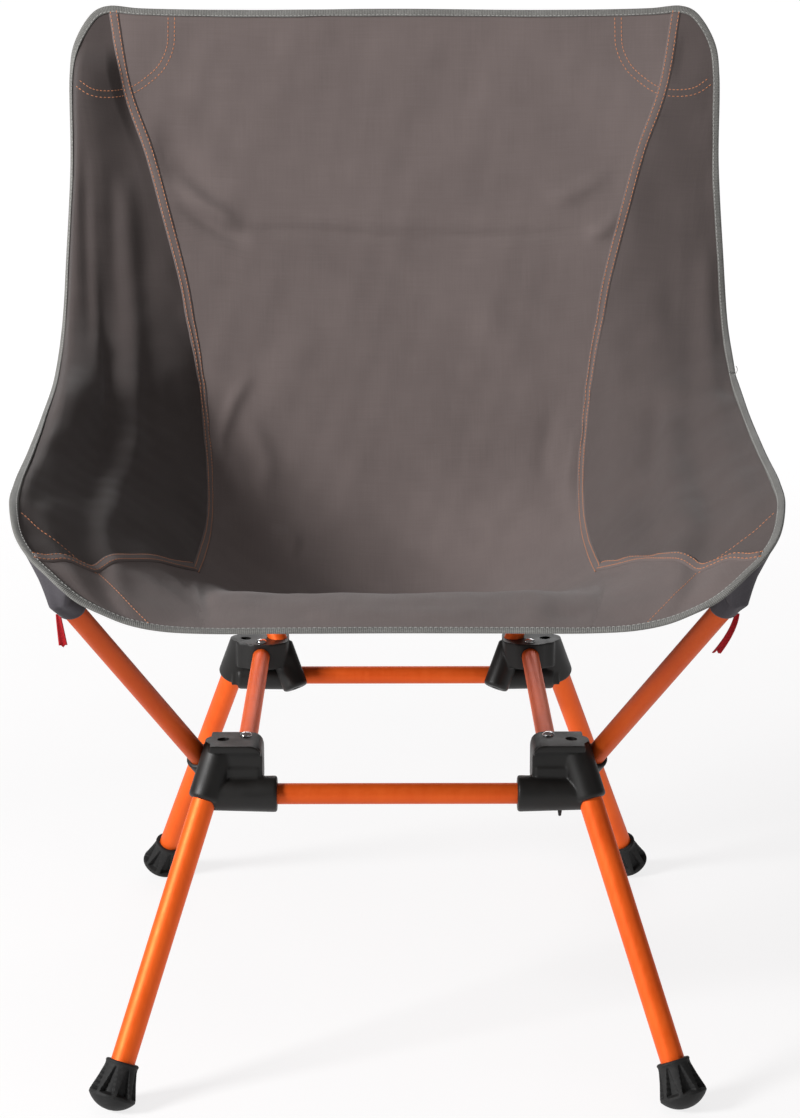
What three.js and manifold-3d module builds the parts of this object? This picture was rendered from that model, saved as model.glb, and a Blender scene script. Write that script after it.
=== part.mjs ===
// Ultralight backpacking chair: a shock-corded tube frame plugged into four moulded hubs,
// and a sewn fabric sling stretched between four pole tips.
// Millimetres. +X to the right seen from the front, +Y to the back, +Z up, floor at z = 0.
import * as THREE from "three";
import { mergeVertices } from "three/addons/utils/BufferGeometryUtils.js";
import Module from "manifold-3d";

const wasm = await Module();
wasm.setup();

// ---------------------------------------------------------------- driving dimensions
// Tubes
const LEG_D = 17;
const LEG_WALL = 1.2;
const CROSSBAR_D = 14;
const RAIL_D = 13.5;
const POLE_D = 14.5;
const TUBE_WALL = 1;
const CORD_D = 2.5;
const CORD_END_GAP = 1;

// Clearances
const SOCKET_CLEARANCE = 0.35;
const PIECE_GAP = 0.3;
const CUT_REACH = 20;

// Hubs: wall round each tube, how deep each tube sits, and the small moulded features
const SOCKET_WALL = 2.9;
const HUB_TOP_Z = 237;
const LEG_SEAT = 8;
const LEG_SOCKET_END = 38;
const CROSSBAR_MOUTH_X = 84;
const FRONT_CROSSBAR_DEPTH = 36;
const REAR_CROSSBAR_DEPTH = 28;
const RAIL_DEPTH = 22;
const REAR_RAIL_DEPTH = 15;
const POLE_DEPTH = 27;
const CORD_HOLE_D = 8;
const CORD_THROAT_D = 3.6;
const CORD_HOLE_DEPTH = 3;
const END_HOLE_D = 6;
const HUB_EDGE = 2.5;

// Stance: where each leg axis crosses the hub's top hole and where its foot stands
const FRONT_LEG_TOP = [124, -139, 231];
const FRONT_FOOT = [193.3, -227];
const REAR_LEG_TOP = [120.5, 139, 233.5];
const REAR_FOOT = [195.5, 241.3];
const FRONT_CROSSBAR = [-148, 201];
const REAR_CROSSBAR = [146, 204];
const RAIL_X = 106.5;
const RAIL_Z = 227;
const FRONT_HUB_BACK_Y = -118;
const REAR_HUB_FRONT_Y = 116;

// Poles: mouths in the hubs, and the tips that carry the sling
const SEAT_POLE_MOUTH = [139.5, -128, 222];
const BACK_POLE_MOUTH = [91.3, 137, 229];
const BACK_POLE_LEAN = [0.4, 0.4, 1];
const SEAT_TIP_UNDER = [0.838, 0.041, 0.102];
const SEAT_TIP_GAP = 6.95;
const BACK_TIP_FROM_CORNER = [3, 11.4, -14];
const TIP_RIM = 0.6;
const TIP_PLUG = 14;
const TIP_HEAD = 5;
const FERRULE_LENGTH = 60;
const FERRULE_GAP = 0.35;

// Feet
const FOOT_DOME_R = 20;
const FOOT_FLAT_R = 4.8;
const FOOT_FLARE_R = 16.6;
const FOOT_COLLAR_R = 11.2;
const FOOT_HEIGHT = 34;
const FOOT_BORE = 23;
const FOOT_RIBS = 8;
const FOOT_WALL = 2;
const FOOT_COLLAR_DEPTH = 13;
const FOOT_WAIST_R = 2.4;
const FOOT_RIM = [0.3, 2.2];
const FOOT_POCKET = [6, 15, 5];
const FOOT_POCKET_TILT = 0.24;
const FOOT_POCKET_REACH = 2.2;

// Rivets and the crossbar pin
const RIVET_D = 4;
const RIVET_HEAD_D = 8.4;
const RIVET_HEAD_H = 2.4;
const RIVET_SETBACK = 9;
const PIN_X = 114;
const PIN_D = 4;
const PIN_DROP = 7;
const PIN_REACH = 2;
const RIVET_TAIL = [1.6, 1.2];

// Sling: half width, front and back reach, seat front height and rise of the back
const SLING_HALF_WIDTH = 262;
const SLING_FRONT_Y = -270;
const SLING_BACK_Y = 262;
const SEAT_FRONT_Z = 346.6;
const BACK_RISE = 379;
const FABRIC_T = 1.2;
const BINDING_D = 3.6;
const SEAM_GAP = 1.6;
const CROWN = 2;
const FRONT_POCKET_LENGTH = 26;
const REAR_POCKET_LENGTH = 38;
const POCKET_FIT = 0.4;
const TAB_SIZE = [5.4, 1.2, 22];
const TAB_DROP = 15;
const TAB_STANDOFF = 3.6;

// Moves the whole chair so that its footprint is centred on the origin
const CENTRE_SHIFT_Y = -2.4;

// Facets round a tube, a hub bore and a small piece
const TUBE_SIDES = 12;
const BORE_SIDES = 14;
const FOOT_SIDES = 16;
const SMALL_SIDES = 8;
const CORD_SIDES = 6;

// ---------------------------------------------------------------- sling outline
// Fractions of half width, depth from front to back, and rise from the seat's front edge
const TOP_EDGE = [
  [0, 1, 0.996],
  [0.46, 0.996, 0.994],
  [0.78, 0.99, 0.998],
  [0.87, 0.988, 1.003],
];
const SIDE_EDGE = [
  [0.91, 0.987, 0.994],
  [0.947, 0.983, 0.965],
  [0.978, 0.979, 0.92],
  [0.988, 0.972, 0.864],
  [0.988, 0.951, 0.68],
  [0.998, 0.906, 0.494],
  [1, 0.842, 0.369],
  [1, 0.724, 0.279],
  [1, 0.564, 0.239],
  [0.998, 0.385, 0.213],
  [0.994, 0.226, 0.2],
  [0.986, 0.15, 0.185],
  [0.955, 0.083, 0.149],
  [0.912, 0.049, 0.121],
];
const FRONT_CORNER = [
  [0.87, 0.028, 0.102],
  [0.83, 0.013, 0.082],
  [0.787, 0.005, 0.061],
  [0.723, 0, 0.041],
];
const FRONT_EDGE = [
  [0.662, 0, 0.024],
  [0.588, 0.004, 0.012],
  [0.477, 0.011, 0.005],
  [0.243, 0.022, 0.001],
  [0, 0.026, 0],
];
const SEAM = [
  [0.858, 0.987, 0.998],
  [0.817, 0.962, 0.836],
  [0.75, 0.942, 0.707],
  [0.703, 0.921, 0.592],
  [0.645, 0.893, 0.44],
  [0.622, 0.868, 0.362],
  [0.595, 0.835, 0.275],
  [0.574, 0.79, 0.178],
  [0.559, 0.742, 0.112],
  [0.547, 0.67, 0.048],
  [0.542, 0.585, 0.008],
  [0.545, 0.466, -0.008],
  [0.549, 0.36, -0.006],
];
const BOTTOM_SEAM = [
  [0.549, 0.36, -0.006],
  [0.603, 0.266, 0.032],
  [0.652, 0.226, 0.051],
  [0.7, 0.169, 0.068],
  [0.768, 0.106, 0.075],
  [0.82, 0.085, 0.095],
  [0.87, 0.06, 0.112],
  [0.912, 0.049, 0.121],
];
const CENTRE_LINE = [
  [0, 1, 0.996],
  [0, 0.987, 0.83],
  [0, 0.962, 0.66],
  [0, 0.922, 0.48],
  [0, 0.862, 0.3],
  [0, 0.79, 0.13],
  [0, 0.71, -0.03],
  [0, 0.61, -0.136],
  [0, 0.5, -0.164],
  [0, 0.38, -0.132],
  [0, 0.28, -0.055],
  [0, 0.19, 0.01],
  [0, 0.1, 0.016],
  [0, 0.026, 0],
];
const SEAT_SIDE = [
  [0.549, 0.36, -0.006],
  [0.545, 0.25, 0.01],
  [0.52, 0.13, 0.02],
  [0.477, 0.011, 0.005],
];

// ---------------------------------------------------------------- small helpers
const UP = new THREE.Vector3(0, 0, 1);
const vec = (p) => new THREE.Vector3(p[0], p[1], p[2]);
const along = (a, direction, distance) => a.clone().addScaledVector(direction, distance);
const unit = (a, b) => b.clone().sub(a).normalize();

// A point of the sling from its fractions of half width, depth and rise
function slingPoint([fx, fy, fz]) {
  return new THREE.Vector3(
    fx * SLING_HALF_WIDTH,
    THREE.MathUtils.lerp(SLING_FRONT_Y, SLING_BACK_Y, fy),
    SEAT_FRONT_Z + fz * BACK_RISE,
  );
}

function toSolid(geometry) {
  const plain = geometry.index ? geometry.toNonIndexed() : geometry.clone();
  plain.deleteAttribute("normal");
  plain.deleteAttribute("uv");
  const merged = mergeVertices(plain, 1e-4);
  return new wasm.Manifold(
    new wasm.Mesh({
      numProp: 3,
      vertProperties: merged.attributes.position.array,
      triVerts: new Uint32Array(merged.index.array),
    }),
  );
}

function toGeometry(solid) {
  const mesh = solid.getMesh();
  const geometry = new THREE.BufferGeometry();
  geometry.setAttribute("position", new THREE.BufferAttribute(mesh.vertProperties, 3));
  geometry.setIndex(new THREE.BufferAttribute(mesh.triVerts, 1));
  return geometry;
}

// A turned piece: profile of [radius, height] standing on a point and pointing along a direction
function turned(profile, base, direction, sides) {
  const points = profile.map(([r, h]) => new THREE.Vector2(r, h));
  const geometry = new THREE.LatheGeometry(points, sides);
  const turn = new THREE.Quaternion().setFromUnitVectors(new THREE.Vector3(0, 1, 0), direction);
  geometry.applyQuaternion(turn);
  geometry.translate(base.x, base.y, base.z);
  return geometry;
}

function rod(a, b, radius, sides = BORE_SIDES) {
  const length = a.distanceTo(b);
  const profile = [[0, 0], [radius, 0], [radius, length], [0, length]];
  return turned(profile, a, unit(a, b), sides);
}

// A rod with both rims chamfered
function boss(a, b, radius, endRadius = radius, edge = HUB_EDGE) {
  const length = a.distanceTo(b);
  const profile = [
    [0, 0],
    [radius - edge, 0],
    [radius, edge],
    [endRadius, length - edge / 2],
    [endRadius - edge / 2, length],
    [0, length],
  ];
  return turned(profile, a, unit(a, b), BORE_SIDES);
}

function hollowTube(a, b, outer, wall, sides = TUBE_SIDES) {
  const length = a.distanceTo(b);
  const inner = outer / 2 - wall;
  const profile = [[inner, 0], [outer / 2, 0], [outer / 2, length], [inner, length], [inner, 0]];
  return turned(profile, a, unit(a, b), sides);
}

function ringShape(outerR, innerR, sides) {
  const shape = new THREE.Shape();
  shape.setFromPoints(circlePoints(outerR, sides));
  if (innerR > 0) shape.holes.push(new THREE.Path(circlePoints(innerR, sides).reverse()));
  return shape;
}

function circlePoints(radius, sides) {
  return Array.from({ length: sides }, (_, i) => {
    const angle = (2 * Math.PI * i) / sides;
    return new THREE.Vector2(radius * Math.cos(angle), radius * Math.sin(angle));
  });
}

// A bent tube: a ring section carried along a curve
function bentTube(curve, outer, innerR, steps, sides) {
  return new THREE.ExtrudeGeometry(ringShape(outer / 2, innerR, sides), {
    steps,
    bevelEnabled: false,
    extrudePath: curve,
  });
}

// A block with its four upright edges rounded, from its low to its high corner
function roundedBlock(low, high, radius) {
  const [w, d] = [high[0] - low[0], high[1] - low[1]];
  const shape = new THREE.Shape();
  shape.moveTo(radius, 0);
  shape.lineTo(w - radius, 0);
  shape.absarc(w - radius, radius, radius, -Math.PI / 2, 0, false);
  shape.lineTo(w, d - radius);
  shape.absarc(w - radius, d - radius, radius, 0, Math.PI / 2, false);
  shape.lineTo(radius, d);
  shape.absarc(radius, d - radius, radius, Math.PI / 2, Math.PI, false);
  shape.lineTo(0, radius);
  shape.absarc(radius, radius, radius, Math.PI, 1.5 * Math.PI, false);
  const geometry = new THREE.ExtrudeGeometry(shape, {
    depth: high[2] - low[2],
    bevelEnabled: false,
    curveSegments: 3,
  });
  geometry.translate(low[0], low[1], low[2]);
  return geometry;
}

function joined(solids) {
  return solids.reduce((sum, next) => sum.add(next));
}

function cutAll(solid, cutters) {
  return cutters.reduce((rest, next) => rest.subtract(next), solid);
}

// The same piece on the other side of the chair
function mirrored(geometry) {
  const copy = geometry.index ? geometry.toNonIndexed() : geometry.clone();
  const position = copy.attributes.position;
  for (let i = 0; i < position.count; i += 3) {
    const corners = [0, 2, 1].map((k) => new THREE.Vector3().fromBufferAttribute(position, i + k));
    corners.forEach((c, k) => position.setXYZ(i + k, -c.x, c.y, c.z));
  }
  return copy;
}

// ---------------------------------------------------------------- materials
const paint = (color, roughness, metalness = 0) =>
  new THREE.MeshStandardMaterial({ color, roughness, metalness });
const tubeOrange = paint(0xe5631c, 0.35, 0.6);
const hubBlack = paint(0x1e1e1d, 0.55);
const rubberBlack = paint(0x2a2928, 0.8);
const steel = paint(0xb9bbbe, 0.25, 1);
const cordBlack = paint(0x141414, 0.9);
const fabricGrey = paint(0x655d5b, 0.85);
const pocketGrey = paint(0x4a4648, 0.9);
const bindingGrey = paint(0x7f7e7a, 0.85);
const tabRed = paint(0xcc1122, 0.7);

const chair = new THREE.Group();
const frame = new THREE.Group();
const sling = new THREE.Group();
frame.name = "frame";
sling.name = "sling";
chair.add(frame, sling);
chair.position.y = CENTRE_SHIFT_Y;

function addPiece(group, name, geometry, material) {
  const mesh = new THREE.Mesh(geometry, material);
  mesh.name = name;
  group.add(mesh);
}

// Adds the right-hand piece and its mirror image
function addPair(group, name, geometry, material) {
  addPiece(group, `${name}_right`, geometry, material);
  addPiece(group, `${name}_left`, mirrored(geometry), material);
}

// ---------------------------------------------------------------- axes of the frame
const DOME_CENTRE_Z = Math.sqrt(FOOT_DOME_R ** 2 - FOOT_FLAT_R ** 2);

function legAxis(top, foot) {
  const start = vec(top);
  const domeCentre = new THREE.Vector3(foot[0], foot[1], DOME_CENTRE_Z);
  return { start, domeCentre, down: unit(start, domeCentre) };
}

const frontLeg = legAxis(FRONT_LEG_TOP, FRONT_FOOT);
const rearLeg = legAxis(REAR_LEG_TOP, REAR_FOOT);

const seatMouth = vec(SEAT_POLE_MOUTH);
const POCKET_INNER_R = POLE_D / 2 + TIP_RIM + POCKET_FIT;
const POCKET_OUTER_R = POCKET_INNER_R + FABRIC_T;
const seatTip = slingPoint(SEAT_TIP_UNDER).add(vec([0, 0, -POCKET_OUTER_R - SEAT_TIP_GAP]));
const seatPoleUp = unit(seatMouth, seatTip);

const backMouth = vec(BACK_POLE_MOUTH);
const backTip = slingPoint(TOP_EDGE.at(-1)).add(vec(BACK_TIP_FROM_CORNER));
const backPoleUp = vec(BACK_POLE_LEAN).normalize();
const halfRise = (backTip.z - backMouth.z) / 2;
const backBend = along(backMouth, backPoleUp, halfRise / backPoleUp.z);
const backCurve = new THREE.QuadraticBezierCurve3(backMouth, backBend, backTip);

// ---------------------------------------------------------------- legs and feet
const FOOT_BORE_R = LEG_D / 2 + PIECE_GAP;
const FOOT_COLLAR_OUTER_R = Math.max(FOOT_COLLAR_R, FOOT_BORE_R + FOOT_WALL);
const FOOT_DOME_STEPS = [0.34, 0.75];
const GROUND_BLOCK = [80, 80, 20];

function footProfile() {
  const collarTop = FOOT_HEIGHT - FOOT_DOME_R;
  const boreR = FOOT_BORE_R;
  const collarR = FOOT_COLLAR_OUTER_R;
  const flareR = FOOT_FLARE_R;
  const domeRimZ = -Math.sqrt(FOOT_DOME_R ** 2 - flareR ** 2);
  const dome = FOOT_DOME_STEPS.map((share) => {
    const r = flareR * share;
    return [r, -Math.sqrt(FOOT_DOME_R ** 2 - r ** 2)];
  });
  return [
    [0, -FOOT_DOME_R],
    ...dome,
    [flareR, domeRimZ],
    [flareR - FOOT_RIM[0], domeRimZ + FOOT_RIM[1]],
    [collarR + FOOT_WAIST_R, collarTop - FOOT_COLLAR_DEPTH],
    [collarR, collarTop],
    [boreR, collarTop],
    [boreR, collarTop - FOOT_BORE],
    [0, collarTop - FOOT_BORE],
  ];
}

// A ribbed rubber foot on a leg axis, cut flat where it stands
function footGeometry(leg) {
  const up = leg.down.clone().negate();
  let foot = toSolid(turned(footProfile(), leg.domeCentre, up, FOOT_SIDES));
  const turn = new THREE.Quaternion().setFromUnitVectors(new THREE.Vector3(0, 1, 0), up);
  for (let i = 0; i < FOOT_RIBS; i++) {
    const pocket = new THREE.BoxGeometry(...FOOT_POCKET);
    pocket.rotateX(-FOOT_POCKET_TILT);
    pocket.translate(0, 0, FOOT_COLLAR_OUTER_R + FOOT_POCKET_REACH);
    pocket.rotateY((2 * Math.PI * (i + 0.5)) / FOOT_RIBS);
    pocket.applyQuaternion(turn);
    pocket.translate(leg.domeCentre.x, leg.domeCentre.y, leg.domeCentre.z);
    foot = foot.subtract(toSolid(pocket));
  }
  const ground = new THREE.BoxGeometry(...GROUND_BLOCK);
  ground.translate(leg.domeCentre.x, leg.domeCentre.y, -GROUND_BLOCK[2] / 2);
  return toGeometry(foot.subtract(toSolid(ground)));
}

for (const [name, leg] of [["front", frontLeg], ["rear", rearLeg]]) {
  const floorOfBore = FOOT_HEIGHT - FOOT_DOME_R - FOOT_BORE + PIECE_GAP;
  const top = along(leg.start, leg.down, LEG_SEAT);
  const end = along(leg.domeCentre, leg.down, -floorOfBore);
  const cordEnd = along(leg.domeCentre, leg.down, -floorOfBore - LEG_WALL);
  const cordTop = along(leg.start, leg.down, CORD_END_GAP);
  addPair(frame, `${name}_leg`, hollowTube(top, end, LEG_D, LEG_WALL), tubeOrange);
  addPair(frame, `${name}_foot`, footGeometry(leg), rubberBlack);
  addPair(frame, `${name}_leg_cord`, rod(cordTop, cordEnd, CORD_D / 2, CORD_SIDES), cordBlack);
}

// ---------------------------------------------------------------- crossbars and side rails
const frontBarHalf = CROSSBAR_MOUTH_X + FRONT_CROSSBAR_DEPTH;
const rearBarHalf = CROSSBAR_MOUTH_X + REAR_CROSSBAR_DEPTH;
const pinTopZ = FRONT_CROSSBAR[1] + PIN_REACH;
const pinBottomZ = FRONT_CROSSBAR[1] - CROSSBAR_D / 2 - SOCKET_WALL - PIN_DROP;

function pinHole(extra) {
  const top = new THREE.Vector3(PIN_X, FRONT_CROSSBAR[0], pinTopZ + PIECE_GAP);
  const bottom = new THREE.Vector3(PIN_X, FRONT_CROSSBAR[0], pinBottomZ - PIN_D);
  return toSolid(rod(bottom, top, PIN_D / 2 + extra, SMALL_SIDES));
}

for (const [name, place, half] of [
  ["front", FRONT_CROSSBAR, frontBarHalf],
  ["rear", REAR_CROSSBAR, rearBarHalf],
]) {
  const left = new THREE.Vector3(-half, ...place);
  const right = new THREE.Vector3(half, ...place);
  let bar = toSolid(hollowTube(left, right, CROSSBAR_D, TUBE_WALL));
  if (name === "front") bar = bar.subtract(pinHole(SOCKET_CLEARANCE));
  const inward = new THREE.Vector3(CORD_D, 0, 0);
  const cordLeft = left.clone().add(inward);
  const cordRight = new THREE.Vector3(Math.min(half, PIN_X) - PIN_D, ...place);
  addPiece(frame, `${name}_crossbar`, toGeometry(bar), tubeOrange);
  addPiece(frame, `${name}_crossbar_cord`, rod(cordLeft, cordRight, CORD_D / 2, CORD_SIDES), cordBlack);
}

const pinProfile = [
  [0, 0],
  [PIN_D / 4, 0],
  [PIN_D / 2 - 0.2, PIN_DROP - 1],
  [PIN_D / 2 - 0.2, pinTopZ - pinBottomZ],
  [0, pinTopZ - pinBottomZ],
];
const pinBase = new THREE.Vector3(PIN_X, FRONT_CROSSBAR[0], pinBottomZ);
const pin = turned(pinProfile, pinBase, UP, SMALL_SIDES);
addPiece(frame, "crossbar_pin", pin, hubBlack);

const railFront = new THREE.Vector3(RAIL_X, FRONT_HUB_BACK_Y - RAIL_DEPTH, RAIL_Z);
const railRear = new THREE.Vector3(RAIL_X, REAR_HUB_FRONT_Y + REAR_RAIL_DEPTH, RAIL_Z);
const frontRivetY = FRONT_HUB_BACK_Y - RIVET_SETBACK;
const rearRivetY = REAR_HUB_FRONT_Y + RIVET_SETBACK;
const RAIL_BOSS_BOTTOM_Z = RAIL_Z - RAIL_D / 2 - SOCKET_CLEARANCE - SOCKET_WALL;

function rivetHole(y, extra) {
  const bottom = new THREE.Vector3(RAIL_X, y, RAIL_BOSS_BOTTOM_Z - CUT_REACH);
  const top = new THREE.Vector3(RAIL_X, y, HUB_TOP_Z + CUT_REACH);
  return toSolid(rod(bottom, top, RIVET_D / 2 + extra, SMALL_SIDES));
}

const rail = cutAll(toSolid(hollowTube(railFront, railRear, RAIL_D, TUBE_WALL)), [
  rivetHole(frontRivetY, SOCKET_CLEARANCE),
  rivetHole(rearRivetY, SOCKET_CLEARANCE),
]);
addPair(frame, "side_rail", toGeometry(rail), tubeOrange);

// A rivet: domed head on the hub's top, shank through hub and rail, flat tail below
function rivetGeometry(y, headZ) {
  const headR = RIVET_HEAD_D / 2;
  const shankR = RIVET_D / 2;
  const [tailRim, tailH] = RIVET_TAIL;
  const bottomZ = RAIL_BOSS_BOTTOM_Z - PIECE_GAP - tailH;
  const headStart = headZ + PIECE_GAP - bottomZ;
  const profile = [
    [0, 0],
    [shankR + tailRim, 0],
    [shankR + tailRim, tailH],
    [shankR, tailH],
    [shankR, headStart],
    [headR, headStart],
    [headR * 0.85, headStart + RIVET_HEAD_H * 0.55],
    [headR * 0.45, headStart + RIVET_HEAD_H * 0.92],
    [0, headStart + RIVET_HEAD_H],
  ];
  const base = new THREE.Vector3(RAIL_X, y, bottomZ);
  return turned(profile, base, UP, SMALL_SIDES + 2);
}

addPair(frame, "front_rivet", rivetGeometry(frontRivetY, HUB_TOP_Z), steel);
addPair(frame, "rear_rivet", rivetGeometry(rearRivetY, HUB_TOP_Z), steel);

// ---------------------------------------------------------------- poles, ferrules and tips
const POLE_INNER_R = POLE_D / 2 - TUBE_WALL;

function tipGeometry(end, direction) {
  const plugR = POLE_INNER_R - 2 * PIECE_GAP;
  const headR = POLE_D / 2 + TIP_RIM;
  const profile = [
    [0, -TIP_PLUG],
    [plugR - 1, -TIP_PLUG],
    [plugR, -TIP_PLUG + 1],
    [plugR, PIECE_GAP],
    [headR, PIECE_GAP],
    [headR, TIP_HEAD * 0.5],
    [headR * 0.7, TIP_HEAD * 0.9],
    [0, TIP_HEAD],
  ];
  return turned(profile, end, direction, TUBE_SIDES);
}

// A sewn cup of fabric over a pole tip, open towards the hub
function pocketGeometry(end, direction, length) {
  const inner = POCKET_INNER_R;
  const outer = POCKET_OUTER_R;
  const crown = TIP_HEAD + POCKET_FIT;
  const profile = [
    [inner, crown - length],
    [outer, crown - length],
    [outer, crown - 1],
    [outer * 0.8, crown + FABRIC_T],
    [0, crown + FABRIC_T],
    [0, crown],
    [inner * 0.8, crown],
    [inner, crown - 2],
    [inner, crown - length],
  ];
  return turned(profile, end, direction, TUBE_SIDES);
}

const seatPoleEnd = along(seatMouth, seatPoleUp, -POLE_DEPTH);
addPair(frame, "seat_pole", hollowTube(seatPoleEnd, seatTip, POLE_D, TUBE_WALL), tubeOrange);
const seatCordEnd = along(seatTip, seatPoleUp, -TIP_PLUG - 1);
const seatCordStart = along(seatPoleEnd, seatPoleUp, 1);
addPair(frame, "seat_pole_cord", rod(seatCordStart, seatCordEnd, CORD_D / 2, CORD_SIDES), cordBlack);
addPair(frame, "seat_pole_tip", tipGeometry(seatTip, seatPoleUp), hubBlack);

// The back pole is straight in its socket and then bends; a ferrule joins its two lengths
const STEPS_PER_SPAN = 5;

class BackPoleLine extends THREE.Curve {
  constructor(from, to) {
    super();
    this.from = from;
    this.to = to;
  }
  getPoint(t, target = new THREE.Vector3()) {
    const at = THREE.MathUtils.lerp(this.from, this.to, t);
    if (at < 0) return target.copy(backMouth).addScaledVector(backPoleUp, -POLE_DEPTH * -at);
    return backCurve.getPoint(at, target);
  }
}

const JOINT_AT = 0.5;
const curveLength = backCurve.getLength();
const ferruleHalf = FERRULE_LENGTH / 2 / curveLength;
const splitHalf = PIECE_GAP / 2 / curveLength;

const lowerBend = new BackPoleLine(-1, JOINT_AT - splitHalf);
const lowerPole = bentTube(lowerBend, POLE_D, POLE_INNER_R, STEPS_PER_SPAN + 2, TUBE_SIDES);
addPair(frame, "back_pole_lower", lowerPole, tubeOrange);
const upperBend = new BackPoleLine(JOINT_AT + splitHalf, 1);
const upperPole = bentTube(upperBend, POLE_D, POLE_INNER_R, STEPS_PER_SPAN, TUBE_SIDES);
addPair(frame, "back_pole_upper", upperPole, tubeOrange);

const ferruleR = POLE_INNER_R - FERRULE_GAP;
const ferruleLine = new BackPoleLine(JOINT_AT - ferruleHalf, JOINT_AT + ferruleHalf);
const ferrule = bentTube(ferruleLine, 2 * ferruleR, ferruleR - TUBE_WALL, 2, TUBE_SIDES);
addPair(frame, "back_pole_ferrule", ferrule, steel);
const backCordLine = new BackPoleLine(0.01, 1 - (TIP_PLUG + 4) / curveLength);
addPair(frame, "back_pole_cord", bentTube(backCordLine, CORD_D, 0, 8, CORD_SIDES), cordBlack);
const backTipUp = backCurve.getTangent(1);
addPair(frame, "back_pole_tip", tipGeometry(backTip, backTipUp), hubBlack);

// ---------------------------------------------------------------- hubs
function legBores(leg) {
  const seat = along(leg.start, leg.down, LEG_SEAT - PIECE_GAP);
  const mouth = along(leg.start, leg.down, LEG_SOCKET_END + CUT_REACH);
  const throatStart = along(leg.start, leg.down, CORD_HOLE_DEPTH);
  const above = along(leg.start, leg.down, -CUT_REACH);
  const boreR = LEG_D / 2 + SOCKET_CLEARANCE;
  return [
    toSolid(rod(seat, mouth, boreR)),
    toSolid(rod(above, throatStart, CORD_HOLE_D / 2, SMALL_SIDES + 2)),
    toSolid(rod(above, mouth, CORD_THROAT_D / 2, SMALL_SIDES)),
  ];
}

function crossbarBore(place, endX) {
  const mouth = new THREE.Vector3(CROSSBAR_MOUTH_X - CUT_REACH, ...place);
  const end = new THREE.Vector3(endX, ...place);
  return toSolid(rod(mouth, end, CROSSBAR_D / 2 + SOCKET_CLEARANCE));
}

function railBore(fromY, toY) {
  const a = new THREE.Vector3(RAIL_X, fromY, RAIL_Z);
  const b = new THREE.Vector3(RAIL_X, toY, RAIL_Z);
  return toSolid(rod(a, b, RAIL_D / 2 + SOCKET_CLEARANCE));
}

function poleBore(mouth, up) {
  const a = along(mouth, up, -POLE_DEPTH - PIECE_GAP);
  const b = along(mouth, up, CUT_REACH);
  return toSolid(rod(a, b, POLE_D / 2 + SOCKET_CLEARANCE));
}

const TRIM_BLOCK = [400, 600, 60];
const topTrim = new THREE.BoxGeometry(...TRIM_BLOCK);
topTrim.translate(0, 0, HUB_TOP_Z + TRIM_BLOCK[2] / 2);
const aboveHubs = toSolid(topTrim);

const legBossR = LEG_D / 2 + SOCKET_CLEARANCE + SOCKET_WALL;
const poleBossR = POLE_D / 2 + SOCKET_CLEARANCE + SOCKET_WALL - 0.4;
const crossbarBossR = CROSSBAR_D / 2 + SOCKET_CLEARANCE + SOCKET_WALL + 1;
const BAR_END_WALL = SOCKET_WALL + 12;

function frontHub() {
  const leg = frontLeg;
  const legTop = along(leg.start, leg.down, -12);
  const legRim = along(leg.start, leg.down, LEG_SOCKET_END);
  const barMouth = new THREE.Vector3(CROSSBAR_MOUTH_X, ...FRONT_CROSSBAR);
  const barEnd = new THREE.Vector3(frontBarHalf + BAR_END_WALL, ...FRONT_CROSSBAR);
  const poleLow = along(seatMouth, seatPoleUp, -POLE_DEPTH - SOCKET_WALL);
  const poleRim = along(seatMouth, seatPoleUp, 1);
  const blockLow = [RAIL_X - RAIL_D / 2 - 5.6, FRONT_CROSSBAR[0] - 7, RAIL_BOSS_BOTTOM_Z];
  const blockHigh = [FRONT_LEG_TOP[0] + 7, FRONT_HUB_BACK_Y, HUB_TOP_Z];
  const skirtLow = [RAIL_X - RAIL_D / 2 - 4.6, FRONT_CROSSBAR[0] - 5, FRONT_CROSSBAR[1] - 5];
  const skirtHigh = [FRONT_LEG_TOP[0] + 14, FRONT_CROSSBAR[0] + 12, RAIL_BOSS_BOTTOM_Z + 6];
  const body = joined([
    toSolid(roundedBlock(blockLow, blockHigh, 6)),
    toSolid(roundedBlock(skirtLow, skirtHigh, 4)),
    toSolid(boss(legRim, legTop, legBossR)),
    toSolid(boss(barEnd, barMouth, crossbarBossR, crossbarBossR + 1.2)),
    toSolid(boss(poleLow, poleRim, poleBossR)),
  ]);
  return cutAll(body.subtract(aboveHubs), [
    ...legBores(leg),
    crossbarBore(FRONT_CROSSBAR, frontBarHalf + PIECE_GAP),
    railBore(FRONT_HUB_BACK_Y + CUT_REACH, FRONT_HUB_BACK_Y - RAIL_DEPTH - PIECE_GAP),
    poleBore(seatMouth, seatPoleUp),
    rivetHole(frontRivetY, SOCKET_CLEARANCE),
  ]);
}

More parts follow.
